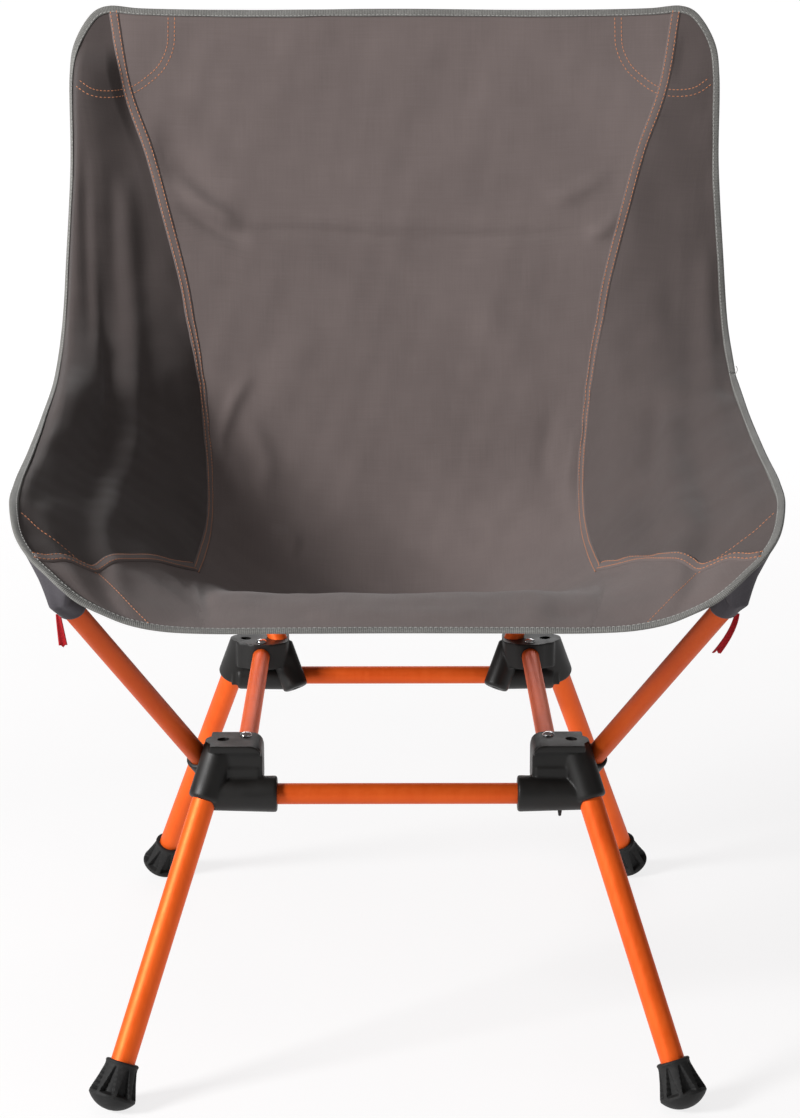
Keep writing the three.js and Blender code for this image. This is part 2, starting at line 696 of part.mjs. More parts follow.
function rearHub() {
  const leg = rearLeg;
  const legTop = along(leg.start, leg.down, -12);
  const legRim = along(leg.start, leg.down, LEG_SOCKET_END - 2);
  const barMouth = new THREE.Vector3(CROSSBAR_MOUTH_X, ...REAR_CROSSBAR);
  const barEnd = new THREE.Vector3(rearBarHalf + BAR_END_WALL, ...REAR_CROSSBAR);
  const poleLow = along(backMouth, backPoleUp, -POLE_DEPTH - SOCKET_WALL - 5);
  const poleRim = along(backMouth, backPoleUp, 3);
  const blockLow = [BACK_POLE_MOUTH[0] - 6, REAR_HUB_FRONT_Y, RAIL_BOSS_BOTTOM_Z];
  const blockHigh = [REAR_LEG_TOP[0] + 6, REAR_CROSSBAR[0] + 6, HUB_TOP_Z];
  const skirtLow = [BACK_POLE_MOUTH[0], REAR_CROSSBAR[0] - 8, REAR_CROSSBAR[1] - 5];
  const skirtHigh = [REAR_LEG_TOP[0] + 12, REAR_CROSSBAR[0] + 8, RAIL_BOSS_BOTTOM_Z + 6];
  const endHoleTop = along(backMouth, backPoleUp, -POLE_DEPTH + 1);
  const endHoleLow = along(poleLow, backPoleUp, -5);
  const body = joined([
    toSolid(roundedBlock(blockLow, blockHigh, 6)),
    toSolid(roundedBlock(skirtLow, skirtHigh, 4)),
    toSolid(boss(legRim, legTop, legBossR)),
    toSolid(boss(barEnd, barMouth, crossbarBossR, crossbarBossR + 0.6)),
    toSolid(boss(poleLow, poleRim, poleBossR)),
  ]);
  return cutAll(body.subtract(aboveHubs), [
    ...legBores(leg),
    crossbarBore(REAR_CROSSBAR, rearBarHalf + PIECE_GAP),
    railBore(REAR_HUB_FRONT_Y - CUT_REACH, REAR_HUB_FRONT_Y + REAR_RAIL_DEPTH + PIECE_GAP),
    poleBore(backMouth, backPoleUp),
    toSolid(rod(endHoleLow, endHoleTop, END_HOLE_D / 2, SMALL_SIDES)),
    rivetHole(rearRivetY, SOCKET_CLEARANCE),
  ]);
}

const frontHubSolid = frontHub();
addPiece(frame, "front_hub_right", toGeometry(frontHubSolid.subtract(pinHole(SOCKET_CLEARANCE))), hubBlack);
addPiece(frame, "front_hub_left", mirrored(toGeometry(frontHubSolid)), hubBlack);
addPair(frame, "rear_hub", toGeometry(rearHub()), hubBlack);

// ---------------------------------------------------------------- sling curves
const SEAT_START = 9;
const FRONT_EDGE_OUTER = [...FRONT_EDGE.slice(0, 3).reverse(), FRONT_CORNER.at(-1)];
const curveThrough = (rows) => new THREE.CatmullRomCurve3(rows.map(slingPoint), false, "centripetal");
const seamCurve = curveThrough(SEAM);
const seatSideCurve = curveThrough(SEAT_SIDE);
const bottomSeamCurve = curveThrough(BOTTOM_SEAM);
const sideCurve = curveThrough(SIDE_EDGE);
const cornerCurve = curveThrough([SIDE_EDGE.at(-1), ...FRONT_CORNER]);
const frontOuterCurve = curveThrough(FRONT_EDGE_OUTER);
const backMiddleCurve = curveThrough(CENTRE_LINE.slice(0, SEAT_START + 1));
const seatMiddleCurve = curveThrough(CENTRE_LINE.slice(SEAT_START));

// ---------------------------------------------------------------- sling panels
const SAME_POINT = 0.02;

// A thin closed solid from grids of points that share their common edges
function sheetSolid(grids) {
  const points = [];
  const faces = [];
  const indexOf = (p) => {
    const found = points.findIndex((q) => q.distanceTo(p) < SAME_POINT);
    return found < 0 ? points.push(p) - 1 : found;
  };
  for (const grid of grids) {
    for (let i = 0; i + 1 < grid.length; i++) {
      for (let j = 0; j + 1 < grid[i].length; j++) {
        const [a, b, c, d] = [grid[i][j], grid[i][j + 1], grid[i + 1][j + 1], grid[i + 1][j]].map(indexOf);
        if (a !== b && b !== c && c !== a) faces.push([a, b, c]);
        if (a !== c && c !== d && d !== a) faces.push([a, c, d]);
      }
    }
  }
  return thickened(points, faces);
}

function thickened(points, faces) {
  const normals = points.map(() => new THREE.Vector3());
  const triangle = new THREE.Triangle();
  const normal = new THREE.Vector3();
  for (const [a, b, c] of faces) {
    triangle.set(points[a], points[b], points[c]);
    triangle.getNormal(normal).multiplyScalar(triangle.getArea());
    [a, b, c].forEach((i) => normals[i].add(normal));
  }
  normals.forEach((n) => n.normalize());
  const front = points.map((p, i) => along(p, normals[i], FABRIC_T / 2));
  const back = points.map((p, i) => along(p, normals[i], -FABRIC_T / 2));
  const all = [...front, ...back];
  const shift = points.length;
  const index = [];
  const edges = new Map();
  for (const [a, b, c] of faces) {
    index.push(a, b, c, c + shift, b + shift, a + shift);
    [[a, b], [b, c], [c, a]].forEach(([p, q]) => edges.set(`${p},${q}`, [p, q]));
  }
  for (const [p, q] of edges.values()) {
    if (!edges.has(`${q},${p}`)) index.push(q, p, p + shift, q, p + shift, q + shift);
  }
  const geometry = new THREE.BufferGeometry();
  geometry.setAttribute("position", new THREE.Float32BufferAttribute(all.flatMap((p) => [p.x, p.y, p.z]), 3));
  geometry.setIndex(index);
  return geometry;
}

// A point of the surface that fills four joined edge curves
function coonsPoint({ low, high, start, end }, u, v) {
  const ruled = low.getPointAt(u).lerp(high.getPointAt(u), v);
  const across = start.getPointAt(v).lerp(end.getPointAt(v), u);
  const cornersLow = low.getPointAt(0).lerp(low.getPointAt(1), u);
  const cornersHigh = high.getPointAt(0).lerp(high.getPointAt(1), u);
  return ruled.add(across).sub(cornersLow.lerp(cornersHigh, v));
}

// Rows and columns of a patch, kept in from each edge curve by its inset
function patch(edges, rows, columns, inset) {
  const length = edges.start.getLength();
  const grid = [];
  for (let i = 0; i <= rows; i++) {
    const share = THREE.MathUtils.lerp(inset.low / length, 1 - inset.high / length, i / rows);
    const width = edges.start.getPointAt(share).distanceTo(edges.end.getPointAt(share));
    const row = [];
    for (let j = 0; j <= columns; j++) {
      const u = THREE.MathUtils.lerp(inset.start / width, 1 - inset.end / width, j / columns);
      const reach = THREE.MathUtils.lerp(length, edges.end.getLength(), j / columns);
      const v = THREE.MathUtils.lerp(inset.low / reach, 1 - inset.high / reach, i / rows);
      row.push(coonsPoint(edges, u, v));
    }
    grid.push(row);
  }
  return grid;
}

// Half of a centre strip between the middle curve and a side curve, crowned like a hammock
function crownedHalf(middleCurve, sideCurveOfHalf, rows, inset) {
  const length = sideCurveOfHalf.getLength();
  const grid = [];
  for (let i = 0; i <= rows; i++) {
    const v = THREE.MathUtils.lerp(inset.low / length, 1 - inset.high / length, i / rows);
    const middle = middleCurve.getPointAt(v);
    const side = sideCurveOfHalf.getPointAt(v);
    const row = [];
    for (let j = 0; j <= HALF_COLUMNS; j++) {
      const s = j / HALF_COLUMNS;
      const point = middle.clone().lerp(side, s ** CROWN);
      point.x = side.x * s;
      row.push(point);
    }
    grid.push(row);
  }
  return grid;
}

const flipped = (grid) => grid.map((row) => row.map((p) => new THREE.Vector3(-p.x, p.y, p.z)).reverse());

const BINDING_STEPS = 80;
const TRIM_REACH = 1;
const rightHalf = [...TOP_EDGE, ...SIDE_EDGE, ...FRONT_CORNER, ...FRONT_EDGE];
const leftHalf = rightHalf.slice(1, -1).reverse().map(([x, y, z]) => [-x, y, z]);
const loop = [...rightHalf, ...leftHalf];
const JOIN_AT = TOP_EDGE.length + 7;
const fromJoin = [...loop.slice(JOIN_AT), ...loop.slice(0, JOIN_AT + 1)];
const bindingLoop = curveThrough(fromJoin);
const bindingLine = new THREE.Curve();
const joinGap = PIECE_GAP / bindingLoop.getLength();
bindingLine.getPoint = (t, target) => bindingLoop.getPoint(t * (1 - joinGap), target);

// The binding covers the panels' edges, so each panel is trimmed clear of it
const bindingPoints = bindingLine.getSpacedPoints(BINDING_STEPS);
const bindingRods = joined(
  bindingPoints.slice(1).map((end, i) => {
    const start = bindingPoints[i];
    const run = unit(start, end);
    const radius = BINDING_D / 2 + 2 * PIECE_GAP;
    return toSolid(rod(along(start, run, -TRIM_REACH), along(end, run, TRIM_REACH), radius, CORD_SIDES));
  }),
);

const bindingSpace = bindingRods.add(toSolid(mirrored(toGeometry(bindingRods))));

function trimmed(sheet) {
  const parts = toSolid(sheet).subtract(bindingSpace).decompose();
  const largest = parts.reduce((most, next) => (next.volume() > most.volume() ? next : most));
  return toGeometry(largest);
}

const BINDING_INSET = BINDING_D / 2 + FABRIC_T / 2 + PIECE_GAP * 2;
const BACK_ROWS = 12;
const SEAT_ROWS = 5;
const HALF_COLUMNS = 4;
const SIDE_ROWS = 12;
const SIDE_COLUMNS = 4;
const WING_COLUMNS = 4;

const backInset = { low: BINDING_INSET, high: 0 };
const seatInset = { low: 0, high: BINDING_INSET };
const wingInset = { low: 0, high: BINDING_INSET, start: 0, end: BINDING_INSET };
const wingEdges = { low: bottomSeamCurve, high: frontOuterCurve, start: seatSideCurve, end: cornerCurve };
const wing = patch(wingEdges, SEAT_ROWS, WING_COLUMNS, wingInset);
const backHalf = crownedHalf(backMiddleCurve, seamCurve, BACK_ROWS, backInset);
const seatHalf = crownedHalf(seatMiddleCurve, seatSideCurve, SEAT_ROWS, seatInset);
const centreGrids = [backHalf, seatHalf, wing].flatMap((grid) => [grid, flipped(grid)]);
addPiece(sling, "sling_centre_panel", trimmed(sheetSolid(centreGrids)), fabricGrey);

const topLine = new THREE.LineCurve3(seamCurve.getPoint(0), sideCurve.getPoint(0));
const sideInset = { low: BINDING_INSET, high: SEAM_GAP, start: SEAM_GAP, end: BINDING_INSET };
const sideEdges = { low: topLine, high: bottomSeamCurve, start: seamCurve, end: sideCurve };
const sidePanel = patch(sideEdges, SIDE_ROWS, SIDE_COLUMNS, sideInset);
addPair(sling, "sling_side_panel", trimmed(sheetSolid([sidePanel])), fabricGrey);

// ---------------------------------------------------------------- edge binding, pockets, tabs
addPiece(sling, "edge_binding", bentTube(bindingLine, BINDING_D, 0, BINDING_STEPS, CORD_SIDES), bindingGrey);

addPair(sling, "front_pocket", pocketGeometry(seatTip, seatPoleUp, FRONT_POCKET_LENGTH), pocketGrey);
addPair(sling, "rear_pocket", pocketGeometry(backTip, backTipUp, REAR_POCKET_LENGTH), pocketGrey);

// Each tab hangs beside the rim of its pocket, on the side away from the seat
const tabSide = new THREE.Vector3(1, 0, 0).addScaledVector(seatPoleUp, -seatPoleUp.x).normalize();
const pocketLine = along(seatTip, seatPoleUp, -TAB_DROP / seatPoleUp.z);
const tabRoot = along(pocketLine, tabSide, POCKET_OUTER_R + TAB_STANDOFF);
const tab = new THREE.BoxGeometry(...TAB_SIZE);
tab.translate(tabRoot.x, tabRoot.y, tabRoot.z - TAB_SIZE[2] / 2);
addPair(sling, "pull_tab", tab, tabRed);

export default chair;
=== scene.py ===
"""Ultralight backpacking chair: the looks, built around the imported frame.

Metres. +X to the right seen from the front, +Y to the back, +Z up, floor at z = 0.
"""

import math
import random

import bmesh
import bpy
import numpy as np
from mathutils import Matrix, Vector
from mathutils.bvhtree import BVHTree


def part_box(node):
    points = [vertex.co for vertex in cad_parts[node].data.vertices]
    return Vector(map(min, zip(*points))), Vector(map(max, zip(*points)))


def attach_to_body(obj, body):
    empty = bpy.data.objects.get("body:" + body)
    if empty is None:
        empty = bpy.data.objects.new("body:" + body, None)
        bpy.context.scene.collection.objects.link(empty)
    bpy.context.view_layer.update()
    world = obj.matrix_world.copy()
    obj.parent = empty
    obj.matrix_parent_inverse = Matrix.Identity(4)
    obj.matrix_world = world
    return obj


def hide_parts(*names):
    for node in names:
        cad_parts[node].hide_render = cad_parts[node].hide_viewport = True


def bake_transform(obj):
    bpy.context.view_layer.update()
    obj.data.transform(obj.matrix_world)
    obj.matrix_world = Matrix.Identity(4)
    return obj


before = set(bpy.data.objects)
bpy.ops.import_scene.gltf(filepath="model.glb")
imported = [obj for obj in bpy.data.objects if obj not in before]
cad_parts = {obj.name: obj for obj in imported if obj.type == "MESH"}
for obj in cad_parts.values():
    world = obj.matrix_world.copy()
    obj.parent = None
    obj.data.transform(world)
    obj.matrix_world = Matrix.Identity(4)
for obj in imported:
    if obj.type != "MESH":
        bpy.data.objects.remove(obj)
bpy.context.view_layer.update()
MM = 0.001
SIDES = {"right": 1, "left": -1}

# ---------------------------------------------------------------- camera
CAMERA_PLACE = (-0.0085, -2.0024, 0.8094)
CAMERA_TILT = 0.2332
CAMERA_TURN = -0.0056
CAMERA_LENS = 89.29
SENSOR = 36


def make_camera():
    data = bpy.data.cameras.new("camera")
    data.sensor_width = SENSOR
    data.lens = CAMERA_LENS
    camera = bpy.data.objects.new("camera", data)
    camera.location = CAMERA_PLACE
    camera.rotation_euler = (math.pi / 2 - CAMERA_TILT, 0, CAMERA_TURN)
    bpy.context.scene.collection.objects.link(camera)
    bpy.context.scene.camera = camera


# ---------------------------------------------------------------- materials
class Shader:
    """A principled material whose nodes are added one by one."""

    def __init__(self, name, **settings):
        self.material = bpy.data.materials.new(name)
        self.material.use_nodes = True
        self.tree = self.material.node_tree
        self.principled = self.tree.nodes["Principled BSDF"]
        for socket, value in settings.items():
            self.principled.inputs[socket.replace("_", " ")].default_value = value
        self.place = self.add("ShaderNodeTexCoord").outputs["Object"]

    def add(self, kind, inputs=None, **settings):
        node = self.tree.nodes.new(kind)
        for key, value in settings.items():
            setattr(node, key, value)
        for key, value in (inputs or {}).items():
            self.feed(node.inputs[key], value)
        return node

    def feed(self, socket, value):
        if isinstance(value, bpy.types.NodeSocket):
            self.tree.links.new(value, socket)
        else:
            socket.default_value = value

    def noise(self, scale, detail=3.0, rough=0.5, at=None, stretch=None):
        """Noise whose scale is in features per metre; stretch multiplies each axis first."""
        at = at or self.place
        if stretch:
            at = self.add("ShaderNodeVectorMath", {0: at, 1: stretch}, operation="MULTIPLY").outputs[0]
        inputs = {"Vector": at, "Scale": scale, "Detail": detail, "Roughness": rough}
        return self.add("ShaderNodeTexNoise", inputs).outputs["Fac"]

    def math(self, operation, a, b=0.0):
        return self.add("ShaderNodeMath", {0: a, 1: b}, operation=operation).outputs[0]

    def remap(self, value, low, high, out_low, out_high):
        inputs = {0: value, 1: low, 2: high, 3: out_low, 4: out_high}
        return self.add("ShaderNodeMapRange", inputs).outputs[0]

    def blend(self, share, first, second):
        node = self.add("ShaderNodeMix", data_type="RGBA")
        self.feed(node.inputs[0], share)
        self.feed(node.inputs[6], (*first, 1.0) if isinstance(first, tuple) else first)
        self.feed(node.inputs[7], (*second, 1.0) if isinstance(second, tuple) else second)
        return node.outputs[2]

    def bump(self, height, distance, strength=1.0):
        inputs = {"Height": height, "Distance": distance, "Strength": strength}
        return self.add("ShaderNodeBump", inputs).outputs[0]

    def cloth_place(self):
        """The piece's own cloth coordinates, whole and split: metres across and metres along."""
        at = self.add("ShaderNodeAttribute", attribute_name="cloth").outputs["Vector"]
        return at, self.add("ShaderNodeSeparateXYZ", {0: at}).outputs

    def finish(self, color=None, roughness=None, normal=None):
        for name, value in (("Base Color", color), ("Roughness", roughness), ("Normal", normal)):
            if value is not None:
                self.feed(self.principled.inputs[name], value)
        return self.material


def shaded(color, share):
    return tuple(c * share for c in color)


def anodised_tube(name, painted_shade=1.0):
    """Satin orange anodising over drawn aluminium, a little darker in patches; a share below 1 darkens the
    whole tube as painted shade.
    """
    s = Shader(name, Metallic=0.34, Specular_IOR_Level=0.3)
    bright, deep, pale = (shaded(color, painted_shade) for color in (TUBE_BRIGHT, TUBE_DEEP, TUBE_PALE))
    streaks = s.noise(260, 4, 0.6, stretch=(1.0, 1.0, 0.12))
    patches = s.noise(18, 2)
    color = s.blend(s.remap(patches, 0.3, 0.7, 0.0, 1.0), deep, bright)
    color = s.blend(s.remap(streaks, 0.35, 0.65, 0.0, 0.16), color, pale)
    rough = s.remap(streaks, 0.3, 0.7, 0.44, 0.54)
    grain = s.noise(3000, 2)
    return s.finish(color, rough, s.bump(grain, 0.03 * MM, 0.4))


def moulded_plastic(name, color, rough):
    """Black nylon with a fine spark-eroded texture and slightly paler handled patches."""
    s = Shader(name, Specular_IOR_Level=0.32)
    grain = s.noise(2600, 3, 0.6)
    cloud = s.noise(60, 3)
    worn = s.blend(s.remap(cloud, 0.35, 0.7, 0.0, 0.35), color, shaded(color, 1.9))
    return s.finish(worn, s.remap(cloud, 0.3, 0.7, rough - 0.05, rough + 0.08), s.bump(grain, 0.06 * MM, 0.7))


def foot_rubber():
    s = Shader("moulded rubber", Specular_IOR_Level=0.35)
    grain = s.noise(1500, 4, 0.65)
    dust = s.noise(220, 5, 0.7)
    color = s.blend(s.remap(dust, 0.5, 0.75, 0.0, 0.3), RUBBER, (0.06, 0.058, 0.055))
    return s.finish(color, s.remap(dust, 0.3, 0.7, 0.62, 0.8), s.bump(grain, 0.12 * MM, 0.6))


def bright_metal(name, color, rough):
    s = Shader(name, Metallic=1.0)
    scratches = s.noise(900, 4, 0.7, stretch=(1.0, 1.0, 0.2))
    worn = s.remap(scratches, 0.3, 0.7, rough, rough + 0.12)
    return s.finish((*color, 1.0), worn, s.bump(scratches, 0.02 * MM, 0.3))


def braided_cord():
    s = Shader("braided cord", Roughness=0.9)
    braid = s.add("ShaderNodeTexWave", {"Vector": s.place, "Scale": 420.0, "Distortion": 1.5})
    color = s.blend(braid.outputs["Fac"], (0.012, 0.012, 0.013), (0.03, 0.03, 0.032))
    return s.finish(color, None, s.bump(braid.outputs["Fac"], 0.2 * MM, 0.8))


def woven_cloth(name, dark, light, pitch, rough=0.86, sheen=0.12):
    """Plain weave that follows the piece's cloth coordinates."""
    s = Shader(name, Specular_IOR_Level=0.18, Sheen_Weight=sheen, Sheen_Roughness=0.5)
    at, axes = s.cloth_place()
    turns = math.tau / pitch
    warp = s.math("SINE", s.math("MULTIPLY", axes[0], turns))
    weft = s.math("SINE", s.math("MULTIPLY", axes[1], turns))
    weave = s.math("MULTIPLY", warp, weft)
    yarn_a = s.noise(1.0, 2, at=at, stretch=(900.0, 26.0, 1.0))
    yarn_b = s.noise(1.0, 2, at=at, stretch=(26.0, 900.0, 1.0))
    yarns = s.math("ADD", s.math("MULTIPLY", yarn_a, 0.5), s.math("MULTIPLY", yarn_b, 0.5))
    cloud = s.noise(14, 3)
    tone = s.math("ADD", s.remap(yarns, 0.35, 0.65, -0.16, 0.16), s.remap(cloud, 0.3, 0.7, 0.3, 0.7))
    tone = s.math("ADD", tone, s.math("MULTIPLY", weave, 0.12))
    color = s.blend(tone, dark, light)
    relief = s.math("ADD", s.math("MULTIPLY", weave, 0.5), s.math("MULTIPLY", yarns, 0.7))
    worn = s.remap(cloud, 0.3, 0.7, rough - 0.05, rough + 0.05)
    return s.finish(color, worn, s.bump(relief, 0.12 * MM, 0.55))


def ribbed_tape(name, dark, light, pitch):
    """Grosgrain: ribs across the tape, counted along its length by the cloth coordinates."""
    s = Shader(name, Specular_IOR_Level=0.25, Sheen_Weight=0.15)
    _, axes = s.cloth_place()
    ribs = s.math("SINE", s.math("MULTIPLY", axes[1], math.tau / pitch))
    fuzz = s.noise(900, 3, 0.7)
    worn = s.noise(45, 3)
    tone = s.math("ADD", s.remap(ribs, -1.0, 1.0, 0.18, 0.72), s.remap(fuzz, 0.3, 0.7, -0.2, 0.2))
    tone = s.math("ADD", tone, s.remap(worn, 0.3, 0.7, -0.15, 0.15))
    relief = s.math("ADD", ribs, s.math("MULTIPLY", fuzz, 0.6))
    rough = s.remap(worn, 0.3, 0.7, 0.75, 0.9)
    return s.finish(s.blend(tone, dark, light), rough, s.bump(relief, 0.15 * MM, 0.8))


def sewing_thread(name, dark, light):
    s = Shader(name, Roughness=0.6, Specular_IOR_Level=0.35, Sheen_Weight=0.2)
    twist = s.noise(2400, 2)
    return s.finish(s.blend(twist, dark, light), None, s.bump(twist, 0.05 * MM, 0.5))


TUBE_BRIGHT = (0.86, 0.120, 0.009)
TUBE_DEEP = (0.76, 0.092, 0.006)
TUBE_PALE = (0.95, 0.19, 0.03)
RUBBER = (0.008, 0.008, 0.008)
HUB_BLACK = (0.006, 0.0055, 0.005)
CLOTH_DARK = (0.110, 0.087, 0.083)
CLOTH_LIGHT = (0.153, 0.123, 0.117)
# Painted shade: the side panels are the same cloth as the centre panel, darkened here for the shade they lie
# in, the left more than the right.
SIDE_PAINTED_SHADE = {"right": 0.64, "left": 0.42}
CLOTH_PITCH = 0.9 * MM
# Painted shade: the crossbars and seat poles are anodised like the other tubes, darkened here for the seat's
# shadow over them.
BAR_PAINTED_SHADE = 0.80
POLE_PAINTED_SHADE = 0.66

tube_paint = anodised_tube("orange anodised tube")
# Copies of the tube paint darkened with that painted shade.
bar_paint_with_painted_shade = anodised_tube("orange anodised crossbar", BAR_PAINTED_SHADE)
pole_paint_with_painted_shade = anodised_tube("orange anodised seat pole", POLE_PAINTED_SHADE)
hub_plastic = moulded_plastic("hub nylon", HUB_BLACK, 0.46)
tip_plastic = moulded_plastic("tip nylon", HUB_BLACK, 0.5)
rubber = foot_rubber()
steel = bright_metal("rivet steel", (0.72, 0.72, 0.73), 0.16)
ferrule_metal = bright_metal("ferrule aluminium", (0.8, 0.8, 0.82), 0.3)
cord_black = braided_cord()
cloth = woven_cloth("sling cloth", CLOTH_DARK, CLOTH_LIGHT, CLOTH_PITCH)
# The side panels' cloth: darker copies of the sling cloth that carry the painted shade.
side_cloth_with_painted_shade = {
    side: woven_cloth(f"{side} panel cloth", shaded(CLOTH_DARK, tone), shaded(CLOTH_LIGHT, tone), CLOTH_PITCH)
    for side, tone in SIDE_PAINTED_SHADE.items()
}
pocket_cloth = woven_cloth("pocket cloth", (0.040, 0.036, 0.042), (0.072, 0.066, 0.074), 1.1 * MM, sheen=0.08)
binding_tape = ribbed_tape("binding tape", (0.095, 0.092, 0.086), (0.235, 0.232, 0.220), 1.3 * MM)
tab_ribbon = ribbed_tape("tab ribbon", (0.30, 0.003, 0.007), (0.56, 0.007, 0.016), 1.0 * MM)
orange_thread = sewing_thread("orange thread", (0.36, 0.115, 0.045), (0.62, 0.25, 0.11))
grey_thread = sewing_thread("grey thread", (0.22, 0.22, 0.21), (0.42, 0.41, 0.39))


# ---------------------------------------------------------------- mesh helpers
def mesh_piece(name, points, faces, material, smooth=True, cloth_at=None):
    """A mesh object from points and faces; cloth_at holds each point's place in the cloth."""
    mesh = bpy.data.meshes.new(name)
    mesh.from_pydata([tuple(map(float, p)) for p in points], [], [tuple(map(int, f)) for f in faces])
    mesh.validate()
    mesh.update()
    if smooth:
        mesh.polygons.foreach_set("use_smooth", [True] * len(mesh.polygons))
    if cloth_at is not None:
        layer = mesh.attributes.new("cloth", "FLOAT_VECTOR", "POINT")
        layer.data.foreach_set("vector", np.asarray(cloth_at, np.float32).ravel())
    mesh.materials.append(material)
    piece = bpy.data.objects.new(name, mesh)
    bpy.context.scene.collection.objects.link(piece)
    return piece


def settle(piece, body, slot, *nodes):
    """Rides the piece on its body and hides the CAD nodes that it stands for; the slot is not used."""
    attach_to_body(piece, body)
    if nodes:
        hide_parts(*nodes)
    return piece


def grid_faces(rows, columns, wrap_rows=False, wrap_columns=False, capped=False, first=0):
    """Quads of a grid of points stored row by row from the point called first, with or without end caps."""
    faces = []
    for i in range(rows if wrap_rows else rows - 1):
        for j in range(columns if wrap_columns else columns - 1):
            a, b = i * columns + j, i * columns + (j + 1) % columns
            c, d = (i + 1) % rows * columns + (j + 1) % columns, (i + 1) % rows * columns + j
            faces.append((a, d, c, b))
    if capped:
        last = (rows - 1) * columns
        faces += [tuple(range(columns)), tuple(range(last, last + columns))[::-1]]
    return [tuple(first + k for k in face) for face in faces]


def unit(v):
    v = np.asarray(v, float)
    return v / np.maximum(np.linalg.norm(v, axis=-1, keepdims=True), 1e-12)


def cross_axes(direction):
    """Two unit vectors square to a direction."""
    d = unit(direction)
    helper = np.array([0.0, 0.0, 1.0]) if abs(d[2]) < 0.9 else np.array([1.0, 0.0, 0.0])
    a = unit(np.cross(d, helper))
    return a, np.cross(d, a)


def ring_round(direction, sides):
    """Angles once round a direction, and the unit vector at each."""
    a, b = cross_axes(direction)
    angles = np.linspace(0, math.tau, sides, endpoint=False)
    return angles, np.cos(angles)[:, None] * a + np.sin(angles)[:, None] * b


def turned_points(profile, base, direction, sides):
    """Rings of a turned shape: each profile entry is (radius, height)."""
    d = unit(direction)
    _, ring = ring_round(d, sides)
    return np.concatenate([np.asarray(base) + h * d + r * ring for r, h in profile])


def turned(name, profile, base, direction, sides, material, closed=False):
    """A turned piece. A closed profile is a ring, as of a tube; an open one gets a cap at each end."""
    points = turned_points(profile, base, direction, sides)
    faces = grid_faces(len(profile), sides, wrap_rows=closed, wrap_columns=True, capped=not closed)
    piece = mesh_piece(name, points, faces, material)
    face_out(piece)
    return piece


def face_out(piece):
    work = bmesh.new()
    work.from_mesh(piece.data)
    bmesh.ops.recalc_face_normals(work, faces=work.faces)
    work.to_mesh(piece.data)
    work.free()
    piece.data.update()


def soften_edges(piece, angle=40):
    """Smooth shading that stays sharp where faces meet at more than the angle."""
    mesh = piece.data
    mesh.polygons.foreach_set("use_smooth", [True] * len(mesh.polygons))
    mesh.set_sharp_from_angle(angle=math.radians(angle))


def mirror_piece(piece, name):
    """The same piece on the other side of the chair."""
    mesh = piece.data.copy()
    mesh.name = name
    for vertex in mesh.vertices:
        vertex.co.x = -vertex.co.x
    mesh.flip_normals()
    copy = bpy.data.objects.new(name, mesh)
    bpy.context.scene.collection.objects.link(copy)
    return copy


def thicken(piece, thickness, offset=0):
    """Gives a sheet its thickness: offset 0 shares it between both faces, -1 keeps the outer one."""
    solid = piece.modifiers.new("thickness", "SOLIDIFY")
    solid.thickness = thickness
    solid.offset = offset


def apply_modifiers(piece):
    bpy.context.view_layer.update()
    evaluated = piece.evaluated_get(bpy.context.evaluated_depsgraph_get())
    fresh = bpy.data.meshes.new_from_object(evaluated)
    piece.modifiers.clear()
    piece.data = fresh
    return piece


def joined(pieces, name):
    """One mesh object from several; the others are removed."""
    work = bmesh.new()
    material = pieces[0].data.materials[0]
    for piece in pieces:
        work.from_mesh(piece.data)
    mesh = bpy.data.meshes.new(name)
    work.to_mesh(mesh)
    work.free()
    mesh.materials.append(material)
    for piece in pieces:
        bpy.data.objects.remove(piece)
    whole = bpy.data.objects.new(name, mesh)
    bpy.context.scene.collection.objects.link(whole)
    return whole


# ---------------------------------------------------------------- curves
class Curve:
    """A centripetal Catmull-Rom curve through points, read by share of its length."""

    def __init__(self, points, per_span=24):
        p = np.asarray(points, float)
        padded = np.concatenate([[2 * p[0] - p[1]], p, [2 * p[-1] - p[-2]]])
        w = np.linspace(0, 1, per_span, endpoint=False)[:, None]
        spans = []
        for a, b, c, d in zip(padded, padded[1:], padded[2:], padded[3:]):
            k0, k1, k2 = (np.sqrt(np.linalg.norm(q - r)) for q, r in ((b, a), (c, b), (d, c)))
            t1 = ((b - a) / k0 - (c - a) / (k0 + k1) + (c - b) / k1) * k1
            t2 = ((c - b) / k1 - (d - b) / (k1 + k2) + (d - c) / k2) * k1
            spans.append(b + t1 * w + (3 * c - 3 * b - 2 * t1 - t2) * w**2 + (2 * b - 2 * c + t1 + t2) * w**3)
        self.points = np.concatenate([*spans, p[-1:]])
        steps = np.linalg.norm(np.diff(self.points, axis=0), axis=1)
        self.reach = np.concatenate([[0], np.cumsum(steps)])
        self.length = self.reach[-1]
        self.reach /= self.length

    def at(self, share):
        return np.stack([np.interp(share, self.reach, self.points[:, k]) for k in range(3)], -1)

    def share_of(self, point):
        """The share of the length at the sample nearest to a point."""
        return self.reach[np.argmin(np.linalg.norm(self.points - np.asarray(point), axis=1))]

    def part(self, start, end):
        cut = Curve.__new__(Curve)
        shares = np.linspace(start, end, 400)
        cut.points = self.at(shares)
        cut.reach = (shares - start) / (end - start)
        cut.length = self.length * (end - start)
        return cut


def smoothstep(x, low, high):
    t = np.clip((x - low) / (high - low), 0, 1)
    return t * t * (3 - 2 * t)


# ---------------------------------------------------------------- sling outline, as in the CAD
SHIFT_Y = -0.0024
HALF_WIDTH = 0.262
FRONT_Y = -0.270 + SHIFT_Y
BACK_Y = 0.262 + SHIFT_Y
SEAT_FRONT_Z = 0.3466
BACK_RISE = 0.379
CROWN = 2


